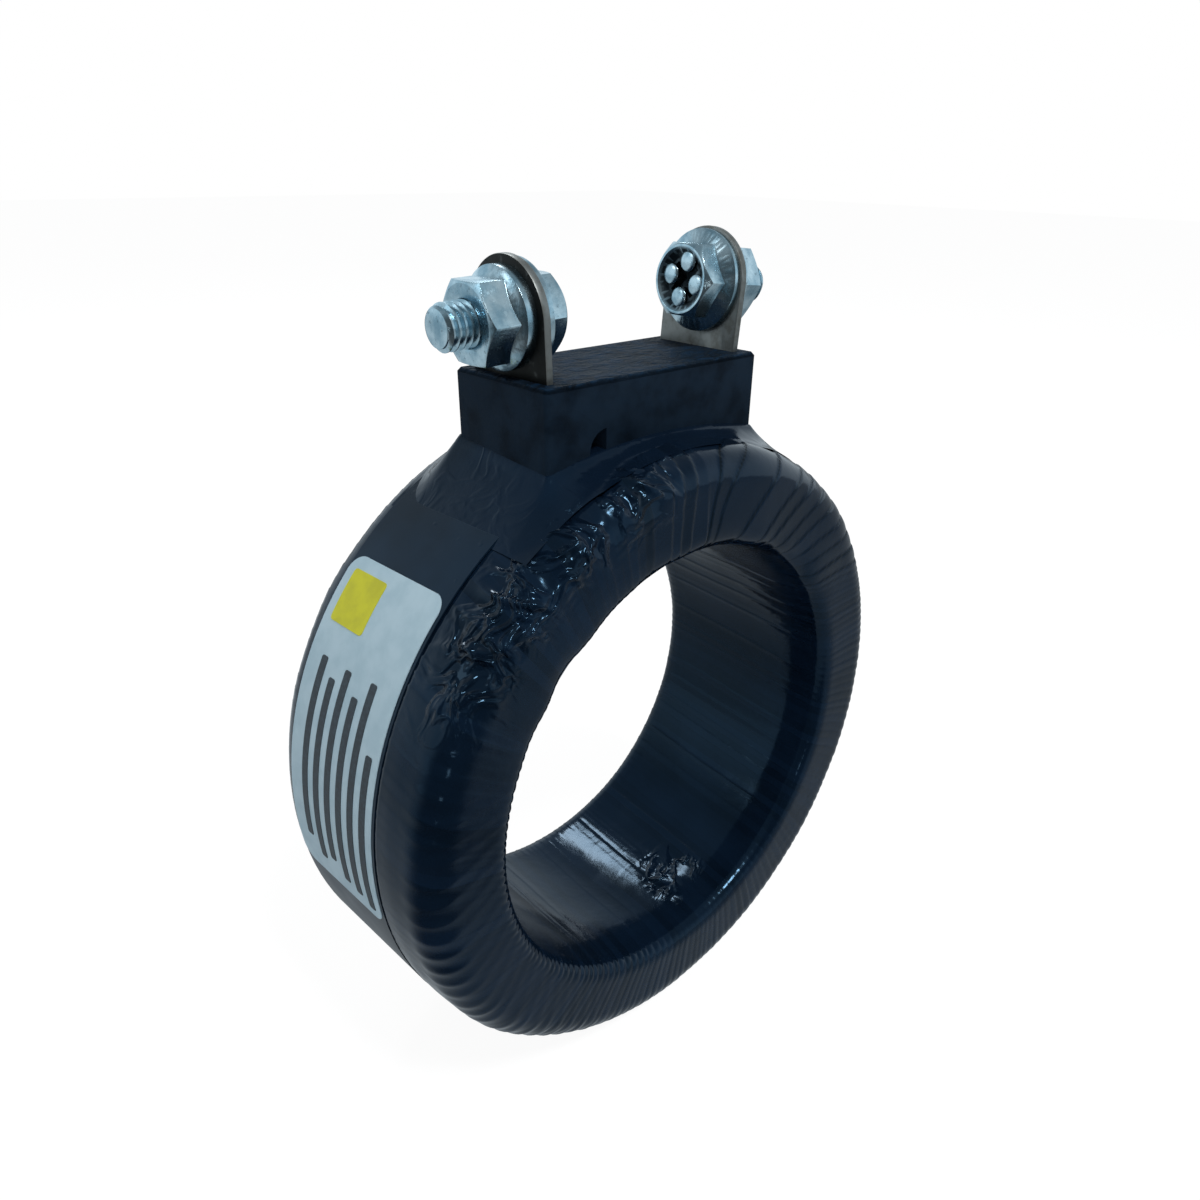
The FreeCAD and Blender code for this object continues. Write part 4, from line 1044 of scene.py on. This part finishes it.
@dataclass
class Studio:
    """A pale floor, a pale surround that is dark to the left in front, and four soft lamps."""

    floor_height: float = -51.75 * MM
    floor_reach: float = 3.0
    dark_side: tuple[float, float] = (-0.697, -0.717)
    mirror_tint: RGBA = (0.82, 0.93, 1.0, 1.0)
    matt: RGBA = srgb(226, 228, 230)
    card: RGBA = srgb(20, 24, 28)
    card_share: float = 0.92
    glow_share: float = 0.85

    def build(self) -> None:
        """Builds the floor, the surround and the lamps."""
        self._floor()
        self._surround()
        self._lamp("key", (-0.06, -0.48, 0.77), 0.15, 4.2)
        self._lamp("fill", (-0.75, 0.3, 0.6), 0.3, 0.6)
        self._lamp("rim", (0.35, 0.6, 0.7), 0.16, 1.4)
        self._lamp("glint", (-0.45, -0.52, 0.04), 0.06, 0.05)

    def _floor(self) -> None:
        """A wide floor: white to the camera but for the object's soft shadow, and dimmer in gloss."""
        mesh = bmesh.new()
        bmesh.ops.create_grid(mesh, x_segments=1, y_segments=1, size=self.floor_reach)
        bmesh.ops.translate(mesh, verts=mesh.verts, vec=(0, 0, self.floor_height))
        data = bpy.data.meshes.new("floor")
        mesh.to_mesh(data)
        mesh.free()
        made = add_object("floor", data)
        material = bpy.data.materials.new("floor_finish")
        material.use_nodes = True
        graph = Graph(material.node_tree)
        seen = self._ray(graph, "Is Camera Ray")
        mirrored = self._mirrored(graph)
        place = graph.place()
        away = graph.node("ShaderNodeVectorMath", {"operation": "LENGTH"}, {0: place}, "Value")
        dark = self._darkness(graph, place) * away.fade(0.08, 0.105) * self.card_share
        matt = graph.node("ShaderNodeBsdfDiffuse", None, {"Color": self.matt})
        right = graph.part(place, "X").fade(0, 0.18, 0, 0.3)
        bright = 1.1 * (1 - mirrored * (away.fade(0.07, 0.2, 0.58, 0.4) + right))
        tint = graph.blend(mirrored, WHITE, self.mirror_tint)
        white = graph.node("ShaderNodeEmission", None, {"Color": tint, "Strength": bright})
        factor = seen * self.glow_share + mirrored * self.glow_share * (1 - dark)
        mixed = graph.node("ShaderNodeMixShader", None, {0: factor, 1: matt, 2: white})
        card = graph.node("ShaderNodeEmission", None, {"Color": self.card, "Strength": 1.0})
        mixed = graph.node("ShaderNodeMixShader", None, {0: mirrored * dark, 1: mixed, 2: card})
        graph.node("ShaderNodeOutputMaterial", None, {"Surface": mixed})
        data.materials.append(material)

    @staticmethod
    def _ray(graph: Graph, name: str) -> Value:
        """One for a kind of ray."""
        return graph.node("ShaderNodeLightPath", output=name)

    def _mirrored(self, graph: Graph) -> Value:
        """One for the rays of gloss and glass."""
        glossy = self._ray(graph, "Is Glossy Ray")
        return graph.math("MAXIMUM", glossy, self._ray(graph, "Is Transmission Ray"))

    def _darkness(self, graph: Graph, vector: Value) -> Value:
        """One towards the dark side of the room, which gives glossy things their dark edges."""
        x, y = graph.part(vector, "X"), graph.part(vector, "Y")
        toward = (x * self.dark_side[0] + y * self.dark_side[1]) / ((x * x + y * y) ** 0.5 + 1e-5)
        return toward.fade(0.45, 0.85)

    def _surround(self) -> None:
        """A surround that is white to the camera, and in gloss white low down and grey overhead."""
        world = bpy.data.worlds.new("surround")
        bpy.context.scene.world = world
        world.use_nodes = True
        graph = Graph(world.node_tree)
        way = graph.node("ShaderNodeTexCoord", output="Generated")
        up = graph.part(way, "Z")
        seen = self._ray(graph, "Is Camera Ray")
        mirrored = self._mirrored(graph)
        dark = self._darkness(graph, way) * up.fade(0.5, 0.8, 1.0, 0.0)
        gloss = up.fade(0.3, 0.75, 0.95, 0.35) * (1 - 0.9 * dark)
        strength = seen + mirrored * gloss + 0.4 * (1 - graph.math("MAXIMUM", seen, mirrored))
        tint = graph.blend(mirrored, WHITE, self.mirror_tint)
        shade = graph.node("ShaderNodeBackground", None, {"Color": tint, "Strength": strength})
        graph.node("ShaderNodeOutputWorld", None, {"Surface": shade})

    @staticmethod
    def _lamp(name: str, place: tuple[float, float, float], size: float, watts: float) -> None:
        """A square soft lamp that faces the object.

        Args:
            name: The lamp's name.
            place: Where it stands, in metres.
            size: Length of its side.
            watts: Its power.
        """
        data = bpy.data.lights.new(name, "AREA")
        data.size, data.energy = size, watts
        made = add_object(name, data)
        made.location = place
        made.rotation_mode = "QUATERNION"
        made.rotation_quaternion = (LAMP_TARGET - Vector(place)).to_track_quat("-Z", "Y")


def dress_solids() -> None:
    """Gives every solid of the frame the material of its slot."""
    for node in frame["nodes"].values():
        for slot in node.material_slots:
            slot.material = bpy.data.materials[slot.material.name.split(".")[0] + "_finish"]


def main() -> None:
    """Builds the pieces, the studio and the camera."""
    logging.basicConfig(level=logging.INFO, format="%(name)s: %(message)s")
    for finish in FINISHES:
        finish.material()
    dress_solids()
    builders: Iterable[Callable[[], None]] = (
        TapeSkin().build,
        GatheredTape().build,
        ScrewTerminal("left").build,
        ScrewTerminal("right").build,
        Fittings().build,
        Studio().build,
        Camera().build,
    )
    for build in builders:
        build()
    bpy.context.scene.view_settings.view_transform = "Standard"
    bpy.context.view_layer.update()


if __name__ == "__main__":
    main()
